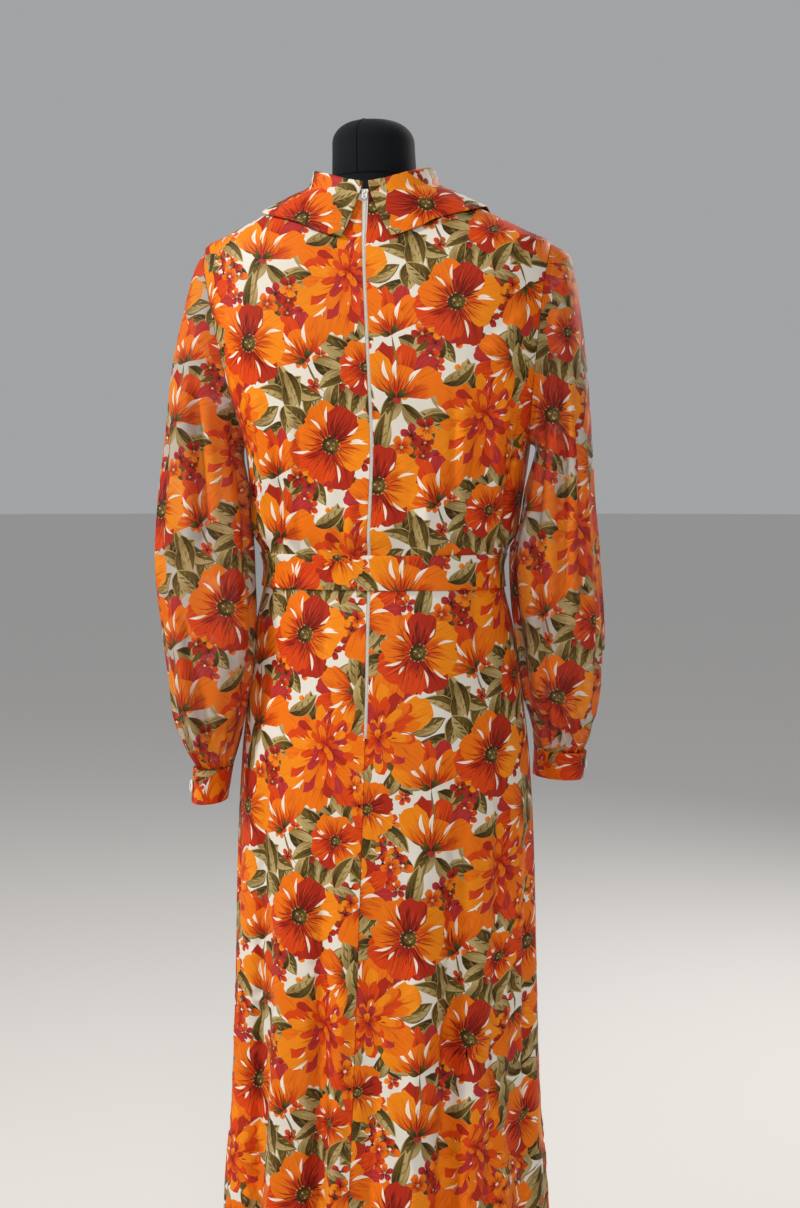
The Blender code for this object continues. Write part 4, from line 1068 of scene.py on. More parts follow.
def printMaterial(name, sheer):
    n = Nodes(name)
    paint = n.add("ShaderNodeAttribute", attribute_name="paint").outputs["Fac"]
    stroke = n.add("ShaderNodeAttribute", attribute_name="stroke").outputs["Vector"]
    split = n.add("ShaderNodeSeparateXYZ")
    n.link(stroke, split.inputs[0])
    u, v, seed = split.outputs
    tip, base, dark, pale = (n.steps(paint, [linear(p[k]) for p in paints]) for k in (1, 2, 3, 5))
    darkness, paleness, cover = (
        n.steps(paint, [(p[k], p[k], p[k], 1) for p in paints]) for k in (4, 6, 7)
    )

    def brushed(along, across, shift, detail):
        brush = n.add("ShaderNodeCombineXYZ")
        n.link(n.math("MULTIPLY", u, along), brush.inputs[0])
        n.link(n.math("MULTIPLY", v, across), brush.inputs[1])
        n.link(n.math("ADD", n.math("MULTIPLY", seed, 40.0), shift), brush.inputs[2])
        return n.noise(brush.outputs[0], 1.0, detail, 0.6)

    broad = brushed(0.9, 4.0, 0.0, 2.5)
    fine = brushed(1.3, 8.5, 3.0, 2.0)
    bright = brushed(1.5, 6.5, 7.0, 2.0)
    wash = n.math("ADD", u, n.math("MULTIPLY", n.math("SUBTRACT", broad, 0.5), 1.3))
    color = n.mix(n.remap(wash, 0.20, 0.66), base, tip)
    fade = n.remap(u, 1.02, 0.45, (0.15, 1.0))
    streak = n.math("MULTIPLY", n.remap(fine, 0.54, 0.61), fade)
    color = n.mix(n.math("MULTIPLY", streak, darkness), color, dark)
    gleam = n.math("MULTIPLY", n.remap(bright, 0.58, 0.66), n.remap(u, 0.15, 0.5))
    color = n.mix(n.math("MULTIPLY", gleam, paleness), color, pale)
    place = n.place()
    tone = n.noise(place, 9.0, 2.0)
    shade = n.add("ShaderNodeHueSaturation")
    n.link(n.remap(tone, 0.2, 0.8, (0.93, 1.05)), shade.inputs["Value"])
    n.link(color, shade.inputs["Color"])
    n.link(shade.outputs[0], n.shader.inputs["Base Color"])
    grain = n.noise(place, 1500.0, 2.0, 0.6)
    n.bump(grain, 0.25, 0.0002)
    n.roughness(grain, 0.2, 0.8, (0.50, 0.66))
    n.constants({"Sheen Weight": 0.03, "Sheen Roughness": 0.4, "Specular IOR Level": 0.12})
    if sheer:
        n.link(cover, n.shader.inputs["Alpha"])
    return n.material


clothPrint = printMaterial("printed_crepe", False)
chiffonPrint = printMaterial("printed_chiffon", True)


def plasticMaterial():
    n = Nodes("white_plastic_moulded")
    place = n.place()
    n.color(n.noise(place, 260.0, 3.0), "#F1EEE6", "#DCD8CD")
    n.roughness(n.noise(place, 900.0, 2.0), 0.3, 0.7, (0.24, 0.36))
    n.bump(n.noise(place, 1200.0, 2.0), 0.1, 0.0001)
    return n.material


def tapeMaterial():
    n = Nodes("white_zip_tape")
    place = n.place()
    wave = n.add("ShaderNodeTexWave", bands_direction="DIAGONAL")
    wave.inputs["Scale"].default_value = 900.0
    n.link(place, wave.inputs["Vector"])
    n.color(wave.outputs["Fac"], "#F4F1EA", "#DED9CE")
    n.bump(wave.outputs["Fac"], 0.4, 0.0002)
    n.constants({"Roughness": 0.85})
    return n.material


def enamelMaterial():
    n = Nodes("white_enamelled_metal")
    place = n.place()
    worn = n.noise(place, 700.0, 4.0, 0.7)
    n.color(n.remap(worn, 0.56, 0.70), "#ECEBE6", "#A9ABAC")
    n.link(n.remap(worn, 0.56, 0.70, (0.05, 0.85)), n.shader.inputs["Metallic"])
    n.roughness(worn, 0.3, 0.8, (0.22, 0.42))
    n.bump(worn, 0.15, 0.0001)
    return n.material


def jerseyMaterial():
    n = Nodes("black_jersey_cover")
    place = n.place()
    knit = n.add("ShaderNodeTexWave", bands_direction="Z", wave_profile="SIN")
    knit.inputs["Scale"].default_value = 420.0
    knit.inputs["Distortion"].default_value = 2.0
    knit.inputs["Detail Scale"].default_value = 3.0
    n.link(place, knit.inputs["Vector"])
    lint = n.remap(n.noise(place, 380.0, 4.0, 0.7), 0.62, 0.74)
    n.color(n.math("MULTIPLY", lint, 0.25), "#090E13", "#333B44")
    n.constants(
        {"Roughness": 0.88, "Sheen Weight": 0.07, "Sheen Roughness": 0.5, "Specular IOR Level": 0.18}
    )
    n.bump(knit.outputs["Fac"], 0.35, 0.0003)
    return n.material


def standMaterial():
    n = Nodes("dark_stand_metal")
    place = n.place()
    rub = n.noise(place, 60.0, 4.0, 0.7)
    n.color(n.remap(rub, 0.45, 0.75), "#26272A", "#3A3B3D")
    n.roughness(rub, 0.3, 0.8, (0.30, 0.50))
    n.constants({"Metallic": 0.8})
    n.bump(n.noise(place, 700.0, 2.0), 0.1, 0.0001)
    return n.material


plastic, tape, enamel = plasticMaterial(), tapeMaterial(), enamelMaterial()
jersey, standMetal = jerseyMaterial(), standMaterial()
for node, material in (
    ("form_torso", jersey),
    ("zip_slider", enamel),
    ("zip_pull", enamel),
):
    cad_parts[node].material_slots[0].material = material
print("materials ready")


# skirt
skirt = {
    "rowStep": 0.0125,
    "columns": {"back": 104, "front": 170},
    "offsets": {"back_right": (0.110, 0.060), "back_left": (0.205, 0.195), "front": (0.020, 0.120)},
    "hemTurn": 0.018,
    "zipTurn": 0.006,
    "zipEnd": 0.885,
    "halfGap": (0.00015, 0.0019),  # at the centre seam below the zip's end, and beside the zip
    "creases": {
        "back_left": (
            (((-0.138, -0.16), (-0.142, -0.38), (-0.148, -0.56), (-0.154, -0.74), (-0.160, -0.99)),
             0.0119, 0.0075),
            (((-0.047, -0.26), (-0.050, -0.43), (-0.050, -0.58), (-0.052, -0.72), (-0.058, -1.00)),
             0.0102, 0.0080),
            (((-0.092, -0.30), (-0.098, -0.60), (-0.108, -1.02)), -0.0085, 0.0150),
            (((-0.016, -0.40), (-0.018, -0.70), (-0.026, -1.02)), -0.0068, 0.0120),
            (((-0.205, -0.20), (-0.222, -0.52), (-0.240, -0.97)), 0.0102, 0.0100),
            (((-0.178, -0.34), (-0.186, -0.62), (-0.196, -1.00)), -0.0068, 0.0130),
            (((-0.270, -0.40), (-0.284, -0.70), (-0.300, -1.02)), 0.0085, 0.0110),
            (((-0.112, 0.0), (-0.116, -0.05), (-0.126, -0.12)), 0.0043, 0.0070),
            (((-0.050, 0.0), (-0.051, -0.06), (-0.052, -0.125)), 0.0024, 0.0035),
        ),
        "back_right": (
            (((0.111, -0.17), (0.106, -0.37), (0.107, -0.54), (0.110, -0.71), (0.115, -0.99)),
             0.0127, 0.0075),
            (((0.066, -0.26), (0.068, -0.60), (0.074, -1.02)), -0.0085, 0.0150),
            (((0.160, -0.12), (0.166, -0.50), (0.176, -0.97)), 0.0085, 0.0090),
            (((0.136, -0.33), (0.138, -0.62), (0.144, -1.02)), -0.0068, 0.0110),
            (((0.024, -0.45), (0.022, -0.72), (0.018, -1.02)), 0.0059, 0.0080),
            (((0.214, -0.24), (0.228, -0.55), (0.246, -1.00)), 0.0102, 0.0100),
            (((0.276, -0.38), (0.290, -0.70), (0.306, -1.02)), 0.0085, 0.0110),
            (((0.120, 0.0), (0.126, -0.06), (0.140, -0.15)), 0.0043, 0.0070),
            (((0.036, 0.0), (0.040, -0.087), (0.042, -0.140)), 0.0024, 0.0035),
        ),
        "front": (
            (((-0.276, -0.22), (-0.290, -0.55), (-0.306, -1.00)), 0.0102, 0.0100),
            (((-0.206, -0.30), (-0.214, -0.64), (-0.230, -1.02)), -0.0076, 0.0140),
            (((-0.158, -0.18), (-0.166, -0.52), (-0.178, -0.98)), 0.0110, 0.0085),
            (((-0.096, -0.34), (-0.100, -0.66), (-0.110, -1.02)), -0.0068, 0.0130),
            (((-0.042, -0.24), (-0.046, -0.58), (-0.056, -1.00)), 0.0102, 0.0090),
            (((0.014, -0.36), (0.016, -0.70), (0.012, -1.02)), -0.0059, 0.0120),
            (((0.064, -0.20), (0.070, -0.55), (0.082, -0.98)), 0.0110, 0.0085),
            (((0.118, -0.30), (0.126, -0.66), (0.136, -1.02)), -0.0076, 0.0140),
            (((0.176, -0.16), (0.186, -0.50), (0.204, -0.99)), 0.0102, 0.0090),
            (((0.236, -0.30), (0.248, -0.62), (0.262, -1.02)), -0.0068, 0.0120),
            (((0.290, -0.26), (0.300, -0.60), (0.316, -1.00)), 0.0093, 0.0100),
            (((-0.082, 0.0), (-0.082, -0.05), (-0.080, -0.105)), 0.0024, 0.0035),
            (((0.082, 0.0), (0.082, -0.05), (0.080, -0.105)), 0.0024, 0.0035),
        ),
    },
}


def spreadBetween(first, last, steps):
    return first[:, None] + (last - first)[:, None] * np.linspace(0, 1, steps + 1)[None, :]


def skirtPiece(first, last, steps, zeroColumn, creases):
    levels = np.linspace(hem, waist, int((waist - hem) / skirt["rowStep"]) + 1)
    angles = spreadBetween(first(levels), last(levels), steps)
    points = skirtPoint(np.repeat(levels[:, None], steps + 1, axis=1), angles)
    cloth = cut(points, zeroColumn, len(levels) - 1)
    form = cloth["points"]
    takeUp(crease(cloth, skirt["creases"][creases]), form, zeroColumn)
    return turnEdge(cloth, "bottom", wall, skirt["hemTurn"])


def makeSkirt():
    def centre(levels):
        half = np.where(levels >= skirt["zipEnd"], skirt["halfGap"][1], skirt["halfGap"][0])
        return angleAtX(skirtRows, levels, half)

    back, front = skirt["columns"]["back"], skirt["columns"]["front"]
    right = skirtPiece(centre, lambda z: 89.96 + 0 * z, back, 0, "back_right")
    left = skirtPiece(lambda z: 0 * z - 89.96, lambda z: -centre(z), back, back, "back_left")
    ahead = skirtPiece(lambda z: 90.04 + 0 * z, lambda z: 269.96 + 0 * z, front, front // 2, "front")
    turnEdge(right, "left", wall, skirt["zipTurn"])
    turnEdge(left, "right", wall, skirt["zipTurn"])
    for cloth, offset, node, above in (
        (right, "back_right", "back_skirt_right", "back_bodice_right"),
        (left, "back_left", "back_skirt_left", "back_bodice_left"),
        (ahead, "front", "front_skirt", "front_bodice"),
    ):
        printedPiece(node, cloth, np.array(skirt["offsets"][offset]), clothPrint)


makeSkirt()

# bodice
bodice = {
    "columns": {"back": 84, "front": 120},
    "offsets": {"back_right": (0.060, 0.250), "back_left": (0.235, 0.090), "front": (0.150, 0.030)},
    "creases": {
        "back_left": (
            (((-0.079, 0.235), (-0.082, 0.19), (-0.085, 0.13), (-0.085, 0.07), (-0.086, -0.02)),
             0.0024, 0.0032),
            (((-0.094, 0.20), (-0.096, 0.12), (-0.096, 0.0)), -0.0054, 0.0080),
            (((-0.150, 0.215), (-0.136, 0.15), (-0.130, 0.06)), -0.0068, 0.0090),
            (((-0.046, 0.12), (-0.048, 0.06), (-0.046, -0.01)), -0.0048, 0.0070),
            (((-0.018, 0.10), (-0.020, 0.05), (-0.018, -0.01)), -0.0037, 0.0060),
            (((-0.190, 0.300), (-0.150, 0.262), (-0.118, 0.235)), -0.0044, 0.0090),
        ),
        "back_right": (
            (((0.087, 0.225), (0.090, 0.19), (0.088, 0.13), (0.091, 0.08), (0.094, -0.02)), 0.0024, 0.0032),
            (((0.101, 0.20), (0.102, 0.12), (0.104, 0.0)), -0.0054, 0.0080),
            (((0.026, 0.165), (0.029, 0.084), (0.030, -0.02)), 0.0018, 0.0032),
            (((0.154, 0.210), (0.140, 0.14), (0.136, 0.05)), -0.0068, 0.0090),
            (((0.060, 0.13), (0.062, 0.07), (0.060, -0.01)), -0.0048, 0.0070),
            (((0.192, 0.305), (0.154, 0.268), (0.122, 0.240)), -0.0044, 0.0090),
        ),
        "front": (
            (((-0.096, 0.160), (-0.094, 0.09), (-0.092, -0.02)), 0.0020, 0.0035),
            (((0.096, 0.160), (0.094, 0.09), (0.092, -0.02)), 0.0020, 0.0035),
            (((-0.190, 0.105), (-0.155, 0.128), (-0.120, 0.150)), 0.0016, 0.0035),
            (((0.190, 0.105), (0.155, 0.128), (0.120, 0.150)), 0.0016, 0.0035),
            (((-0.112, 0.14), (-0.112, 0.07), (-0.110, 0.0)), -0.0051, 0.0080),
            (((0.112, 0.14), (0.112, 0.07), (0.110, 0.0)), -0.0051, 0.0080),
            (((-0.040, 0.12), (-0.042, 0.06), (-0.040, -0.01)), -0.0048, 0.0080),
            (((0.030, 0.13), (0.032, 0.06), (0.030, -0.01)), -0.0044, 0.0070),
            (((-0.205, 0.290), (-0.160, 0.250), (-0.125, 0.215)), -0.0048, 0.0090),
            (((0.205, 0.290), (0.160, 0.250), (0.125, 0.215)), -0.0048, 0.0090),
        ),
    },
}


def bodicePiece(first, last, steps, zeroColumn, creases):
    armTurns = np.linspace(math.pi, 0, 34)
    below = np.linspace(waist, underarm, 18)[:-1]
    above = np.linspace(shoulderTip, neckSide, 16)[1:]
    levels = np.concatenate([below, armMiddle + armHalf * np.cos(armTurns), above])
    angles = spreadBetween(first(levels), last(levels), steps)
    cloth = cut(bodicePoint(np.repeat(levels[:, None], steps + 1, axis=1), angles), zeroColumn, 0)
    form = cloth["points"]
    takeUp(crease(cloth, bodice["creases"][creases]), form, zeroColumn)
    return cloth


def makeBodice():
    def centre(levels):
        return angleAtX(bodiceRows, levels, zipHalf(levels) + 0.0005)

    back, front = bodice["columns"]["back"], bodice["columns"]["front"]
    right = bodicePiece(centre, lambda z: armholeAngle(z, False) - 0.03, back, 0, "back_right")
    left = bodicePiece(
        lambda z: 0.03 - armholeAngle(z, False), lambda z: -centre(z), back, back, "back_left"
    )
    ahead = bodicePiece(
        lambda z: armholeAngle(z, True) + 0.03, lambda z: 359.97 - armholeAngle(z, True), front,
        front // 2, "front",
    )
    turnEdge(right, "left", wall, skirt["zipTurn"])
    turnEdge(left, "right", wall, skirt["zipTurn"])
    for cloth, offset, node in (
        (right, "back_right", "back_bodice_right"),
        (left, "back_left", "back_bodice_left"),
        (ahead, "front", "front_bodice"),
    ):
        turnEdge(cloth, "top", wall)
        printedPiece(node, cloth, np.array(bodice["offsets"][offset]), clothPrint)


makeBodice()

# sleeves and cuffs
ringNames = "innerX innerZ outerX outerZ middle halfDepth folds gathers turn"
sleeves = {
    "left": {
        "side": -1,
        "offset": (0.080, 0.140),
        "rings": (
            (0.1705, 1.2145, 0.2150, 1.4300, -0.001, 0.0580, 0.0000, 0, 0),
            (0.1725, 1.2130, 0.2320, 1.3830, -0.002, 0.0605, 0.0000, 0, 0),
            (0.1740, 1.2080, 0.2510, 1.3150, -0.006, 0.0640, 0.0020, 0, 0),
            (0.1710, 1.1960, 0.2640, 1.2380, -0.014, 0.0660, 0.0045, 0, -4),
            (0.1620, 1.1650, 0.2710, 1.1680, -0.022, 0.0670, 0.0065, 0, -8),
            (0.1480, 1.0780, 0.2700, 1.0780, -0.038, 0.0660, 0.0075, 0, -12),
            (0.1425, 0.9850, 0.2560, 0.9850, -0.053, 0.0640, 0.0075, 0.0000, -16),
            (0.1560, 0.9150, 0.2510, 0.9150, -0.046, 0.0630, 0.0060, 0.0006, -10),
            (0.1640, 0.8800, 0.2435, 0.8800, -0.040, 0.0590, 0.0030, 0.0020, -5),
            (0.1725, 0.8545, 0.2330, 0.8545, -0.037, 0.0525, 0.0010, 0.0026, 0),
            (0.1790, 0.8350, 0.2210, 0.8353, -0.035, 0.0420, 0.0000, 0.0012, 0),
        ),
        "cuff": {"drop": (0.0045, 0.000, -0.0400), "narrower": 0.10, "flare": 0.0000,
                 "buttons": (0.125, 0.945), "offset": (0.040, 0.210)},
        "creases": (
            (((0.056, 0.480), (0.073, 0.41), (0.090, 0.313), (0.100, 0.250)), 0.0109, 0.0060),
            (((0.042, 0.470), (0.058, 0.39), (0.074, 0.30), (0.082, 0.22)), -0.0058, 0.0085),
            (((0.092, 0.490), (0.130, 0.41), (0.152, 0.34), (0.165, 0.26), (0.160, 0.18),
              (0.132, 0.08), (0.107, 0.0)),
             0.0116, 0.0065),
            (((0.112, 0.400), (0.126, 0.32), (0.134, 0.22), (0.122, 0.10)), -0.0065, 0.0100),
            (((0.010, 0.460), (0.022, 0.36), (0.034, 0.24), (0.040, 0.12)), 0.0080, 0.0080),
            (((0.066, 0.220), (0.068, 0.13), (0.062, 0.0)), 0.0087, 0.0070),
            (((0.020, 0.180), (0.022, 0.09), (0.022, 0.0)), 0.0065, 0.0070),
            (((-0.030, 0.430), (-0.034, 0.28), (-0.030, 0.10)), 0.0072, 0.0080),
            (((-0.076, 0.440), (-0.090, 0.30), (-0.082, 0.12)), 0.0087, 0.0080),
            (((-0.120, 0.420), (-0.132, 0.27), (-0.112, 0.06)), 0.0087, 0.0080),
            (((-0.056, 0.380), (-0.062, 0.24), (-0.056, 0.06)), -0.0058, 0.0090),
        ),
        "cuffGathers": (
            (-0.097, 0.062), (-0.084, 0.040), (-0.066, 0.085), (-0.047, 0.048), (-0.031, 0.070),
            (-0.014, 0.036), (0.003, 0.066), (0.019, 0.044), (0.034, 0.092), (0.046, 0.052),
            (0.060, 0.080), (0.077, 0.042), (0.093, 0.070),
        ),
    },
    "right": {
        "side": 1,
        "offset": (0.190, 0.020),
        "rings": (
            (0.1705, 1.2145, 0.2250, 1.4290, 0.000, 0.0580, 0.0000, 0, 0),
            (0.1725, 1.2130, 0.2320, 1.3730, 0.001, 0.0605, 0.0000, 0, 0),
            (0.1740, 1.2080, 0.2370, 1.2950, 0.002, 0.0640, 0.0020, 0, 0),
            (0.1710, 1.1960, 0.2400, 1.2280, 0.004, 0.0660, 0.0045, 0, 0),
            (0.1630, 1.1650, 0.2445, 1.1680, 0.007, 0.0670, 0.0065, 0, 0),
            (0.1475, 1.0780, 0.2565, 1.0780, 0.014, 0.0660, 0.0075, 0, 0),
            (0.1525, 0.9850, 0.2620, 0.9880, 0.024, 0.0640, 0.0075, 0.0000, 4),
            (0.1595, 0.9200, 0.2550, 0.9290, 0.033, 0.0610, 0.0060, 0.0006, 12),
            (0.1700, 0.8920, 0.2470, 0.8990, 0.038, 0.0560, 0.0030, 0.0020, 22),
            (0.1760, 0.8695, 0.2385, 0.8735, 0.043, 0.0500, 0.0010, 0.0026, 32),
            (0.1810, 0.8520, 0.2260, 0.8540, 0.047, 0.0415, 0.0000, 0.0012, 40),
        ),
        "cuff": {"drop": (-0.0040, 0.018, -0.0345), "narrower": 0.04, "flare": 0.0015,
                 "buttons": (0.085, 0.945), "offset": (0.250, 0.080)},
        "creases": (
            (((-0.062, 0.490), (-0.069, 0.43), (-0.076, 0.36), (-0.083, 0.29), (-0.086, 0.16)),
             0.0109, 0.0055),
            (((-0.042, 0.450), (-0.051, 0.38), (-0.056, 0.28), (-0.064, 0.10)), 0.0109, 0.0055),
            (((-0.066, 0.400), (-0.068, 0.30), (-0.074, 0.16)), -0.0043, 0.0060),
            (((-0.104, 0.430), (-0.116, 0.32), (-0.116, 0.18), (-0.098, 0.02)), 0.0109, 0.0065),
            (((-0.096, 0.380), (-0.100, 0.26), (-0.098, 0.10)), -0.0051, 0.0080),
            (((-0.018, 0.420), (-0.026, 0.30), (-0.034, 0.14), (-0.036, 0.0)), 0.0080, 0.0075),
            (((-0.070, 0.120), (-0.068, 0.06), (-0.066, 0.0)), 0.0065, 0.0060),
            (((0.020, 0.430), (0.026, 0.29), (0.020, 0.08)), 0.0080, 0.0080),
            (((0.070, 0.430), (0.084, 0.28), (0.072, 0.08)), 0.0087, 0.0080),
            (((0.116, 0.400), (0.128, 0.26), (0.108, 0.06)), 0.0087, 0.0080),
            (((0.048, 0.380), (0.056, 0.24), (0.046, 0.06)), -0.0058, 0.0090),
        ),
        "cuffGathers": (
            (-0.095, 0.058), (-0.080, 0.090), (-0.067, 0.046), (-0.054, 0.096), (-0.038, 0.060),
            (-0.022, 0.082), (-0.007, 0.042), (0.010, 0.070), (0.026, 0.038), (0.043, 0.078),
            (0.061, 0.046), (0.078, 0.064), (0.095, 0.050),
        ),
    },
}
sleeveColumns = 132
sleeveRows = 78
sleeveTouch = {"below": 0.035, "reach": 0.012, "gap": 0.0015}
sleeveSeam = 0.00045
gather = {"below": -0.018, "least": 0.0026, "deeper": 0.050, "width": 0.0046}


def oval(ring, side, turns, share=1.0):
    # turn 0 is the section's outer edge and a quarter turn its back
    innerX, innerZ, outerX, outerZ, middle, halfDepth, _, _, degrees = ring
    inner = np.array([side * innerX, middle, innerZ])
    outer = np.array([side * outerX, middle, outerZ])
    turns = np.asarray(turns)
    c, s = np.cos(math.tau * turns)[:, None], np.sin(math.tau * turns)[:, None]
    arms = ((outer - inner) / 2 * c + np.array([0, -halfDepth, 0]) * s) * share
    by = side * math.radians(degrees)
    turned = np.array([[math.cos(by), -math.sin(by), 0], [math.sin(by), math.cos(by), 0], [0, 0, 1.0]])
    return (inner + outer) / 2 + arms @ turned.T


def sleeveShare(ring, turns):
    innerX, innerZ, outerX, outerZ, _, halfDepth, folds, gathers, _ = ring
    mean = (math.hypot(outerX - innerX, outerZ - innerZ) / 2 + halfDepth) / 2
    uneven = turns + 0.022 * np.sin(math.tau * 2 * turns + 0.7)
    long = (0.5 - 0.5 * np.cos(math.tau * (5 * uneven + 0.35))) ** 2
    gathered = 0.5 - 0.5 * np.cos(math.tau * 14 * uneven)
    return 1 - (folds * long + gathers * gathered) / mean


def armholeLoop(side, turns):
    turns = turns % 1.0
    atFront = turns > 0.5
    swing = np.where(atFront, 1 - turns, turns) * math.tau
    level = armMiddle + armHalf * np.cos(swing)
    angle = np.where(atFront, armholeAngle(level, True), armholeAngle(level, False))
    return bodicePoint(level, side * angle)


def sleeveForm(sleeve, turns, keys, at):
    # the sleeve's form without folds, and its cut worked out on that
    rings = [armholeLoop(sleeve["side"], turns)]
    rings += [oval(ring, sleeve["side"], turns) for ring in sleeve["rings"]]
    low = np.linspace(keys[-1], 0, 24)
    points = smooth(keys, np.array(rings), low)
    across = np.linalg.norm(np.diff(points[..., :2], axis=1), axis=-1)
    s = np.concatenate([np.zeros((len(points), 1)), np.cumsum(across, axis=1)], axis=1)
    s -= s[:, sleeveColumns // 2 : sleeveColumns // 2 + 1]
    guess = np.stack([s, points[..., 2] - points[0, 0, 2]], axis=-1)
    flat = smooth(low[::-1], flatten(points, guess, 4)[::-1], at[::-1])
    return smooth(keys, np.array(rings), at)[::-1], flat


def layAgainst(cloth, neighbours):
    # where the sleeve would cut through the dress below the underarm, it lies against it instead
    low = cloth["points"][..., 2] < underarm - sleeveTouch["below"]
    for neighbour in neighbours:
        mesh = bpy.data.objects[f"{neighbour}_cloth"].data
        tree = BVHTree.FromPolygons(
            [v.co for v in mesh.vertices], [face.vertices for face in mesh.polygons]
        )
        for row, column in np.argwhere(low):
            point = Vector(cloth["points"][row, column])
            near, normal, _, _ = tree.find_nearest(point, sleeveTouch["reach"])
            if near and (point - near).dot(normal) < sleeveTouch["gap"]:
                cloth["points"][row, column] = near + normal * sleeveTouch["gap"]
    cloth["normals"] = gridNormals(cloth["points"])


def makeSleeve(name, sleeve):
    side = sleeve["side"]
    turns = -side * np.linspace(-0.5, 0.5, sleeveColumns + 1)
    tilt = math.atan2(armhole["topX"] - armhole["lowX"], shoulderTip - underarm)
    away = np.array([side * math.cos(tilt), 0, -math.sin(tilt)])
    rings = [armholeLoop(side, turns) + sleeveSeam * away]
    rings += [oval(r, side, turns, sleeveShare(r, turns)[:, None]) for r in sleeve["rings"]]
    rings = np.array(rings)
    gaps = np.linalg.norm(np.diff(rings, axis=0), axis=-1).mean(1)
    keys = np.concatenate([[0], np.cumsum(gaps)])
    at = np.linspace(0, keys[-1], sleeveRows + 1)
    cloth = cut(smooth(keys, rings, at)[::-1], sleeveColumns // 2, 0)
    form, cloth["flat"] = sleeveForm(sleeve, turns, keys, at)
    gathers = [
        (
            ((place, gather["below"]), (place * 1.04, reach * 0.4), (place * 1.12, reach)),
            gather["deeper"] * reach + gather["least"],
            gather["width"],
        )
        for place, reach in sleeve["cuffGathers"]
    ]
    crease(cloth, [*sleeve["creases"], *gathers])
    layAgainst(cloth, [f"back_bodice_{name}", "front_bodice", f"back_skirt_{name}", "front_skirt"])
    takeUp(cloth, form, sleeveColumns // 2)
    printedPiece(f"sleeve_{name}", cloth, np.array(sleeve["offset"]), chiffonPrint)


def cuffLines(sleeve, steps, shares):
    cuff, side = sleeve["cuff"], sleeve["side"]
    turns = np.linspace(0.02, 1.16, steps + 1)
    lifted = ease((0.31 - turns) / 0.12) * 0.0023 + ease((0.14 - turns) / 0.12) * cuff["flare"]
    rows = []
    for share in shares:
        shift = np.array([side, 1, 1]) * cuff["drop"] * share - np.array([0, 0, 0.00075])
        rows.append(oval(sleeve["rings"][-1], side, turns, 1 - cuff["narrower"] * share) + shift)
    line = np.array(rows)
    out = unit(np.cross(np.gradient(line, axis=1), np.array([0, 0, 1.0])) * -side)
    outer = line + out * lifted[None, :, None]
    return turns, outer, outer - out * 0.0018


def makeCuff(name, sleeve):
    side = sleeve["side"]
    _, outer, inner = cuffLines(sleeve, 108, np.linspace(1, 0, 9))
    if side > 0:
        outer, inner = outer[:, ::-1], inner[:, ::-1]
    cloth = closedBand(outer, inner, unroll(outer, 54, 0))
    printedPiece(f"cuff_{name}", cloth, np.array(sleeve["cuff"]["offset"]), clothPrint)


for side, sleeve in sleeves.items():
    makeSleeve(side, sleeve)
    makeCuff(side, sleeve)

# collar
collar = {
    "columns": 160,
    "offset": (0.130, 0.275),
    "wall": 0.0018,
    "fold": 0.0010,
    "fromCentre": 0.0042,
    "clear": {"fold": 0.0018, "least": 0.0016, "tip": 0.0016},
    "fallRows": 19,
    "tips": (0.0310, 0.0250),
    "edge": rowsOf(
        "angle level stand",
        (0, 1.4430, 0.0060),
        (4.5, 1.4455, 0.0063),
        (10, 1.4520, 0.0070),
        (17, 1.4595, 0.0083),
        (24, 1.4665, 0.0100),
        (45, 1.4750, 0.0150),
        (90, 1.4840, 0.0205),
        (135, 1.4620, 0.0160),
        (180, 1.4150, 0.0110),
    ),
}


def collarAngles(share):
    # both front edges are straight from the fold to the points
    half = collar["columns"] // 2 + 1
    level = np.array(neckSide + (collar["edge"]["level"][1] - neckSide) * share**0.9)
    right, left = (
        float(angleAtX(bodiceRows, level, collar["fromCentre"] + (tip - collar["fromCentre"]) * share))
        for tip in collar["tips"]
    )
    return np.concatenate([np.linspace(right, 180, half), np.linspace(180, 360 - left, half)[1:]])


def bodiceNormals(level, angle):
    up = bodicePoint(np.minimum(level + 0.001, neckSide), angle) - bodicePoint(level - 0.001, angle)
    across = bodicePoint(level, angle + 0.4) - bodicePoint(level, angle - 0.4)
    return unit(np.cross(across, up))


def collarFlat(outer):
    # the part that falls is a flat ring's sector; the stand goes on from it
    count = collar["fallRows"]
    falls = outer[:count]
    steps = np.linalg.norm(np.diff(falls, axis=1), axis=-1)
    s = np.concatenate([np.zeros((count, 1)), np.cumsum(steps, axis=1)], axis=1)
    long, deep = s[:, -1:], np.linalg.norm(np.diff(falls, axis=0), axis=-1).sum(0).mean()
    swing = float((long[0] - long[-1])[0] / deep)
    turn = (s / long - 0.5) * swing
    flat = np.stack([long / swing * np.sin(turn), -long / swing * np.cos(turn)], axis=-1)
    flat = list(flatten(falls, flat, 4))
    for row in range(count, len(outer)):
        step = np.linalg.norm(outer[row] - outer[row - 1], axis=-1, keepdims=True)
        flat.append(flat[-1] + unit(flat[-1] - flat[-2]) * step)
    return np.array(flat)


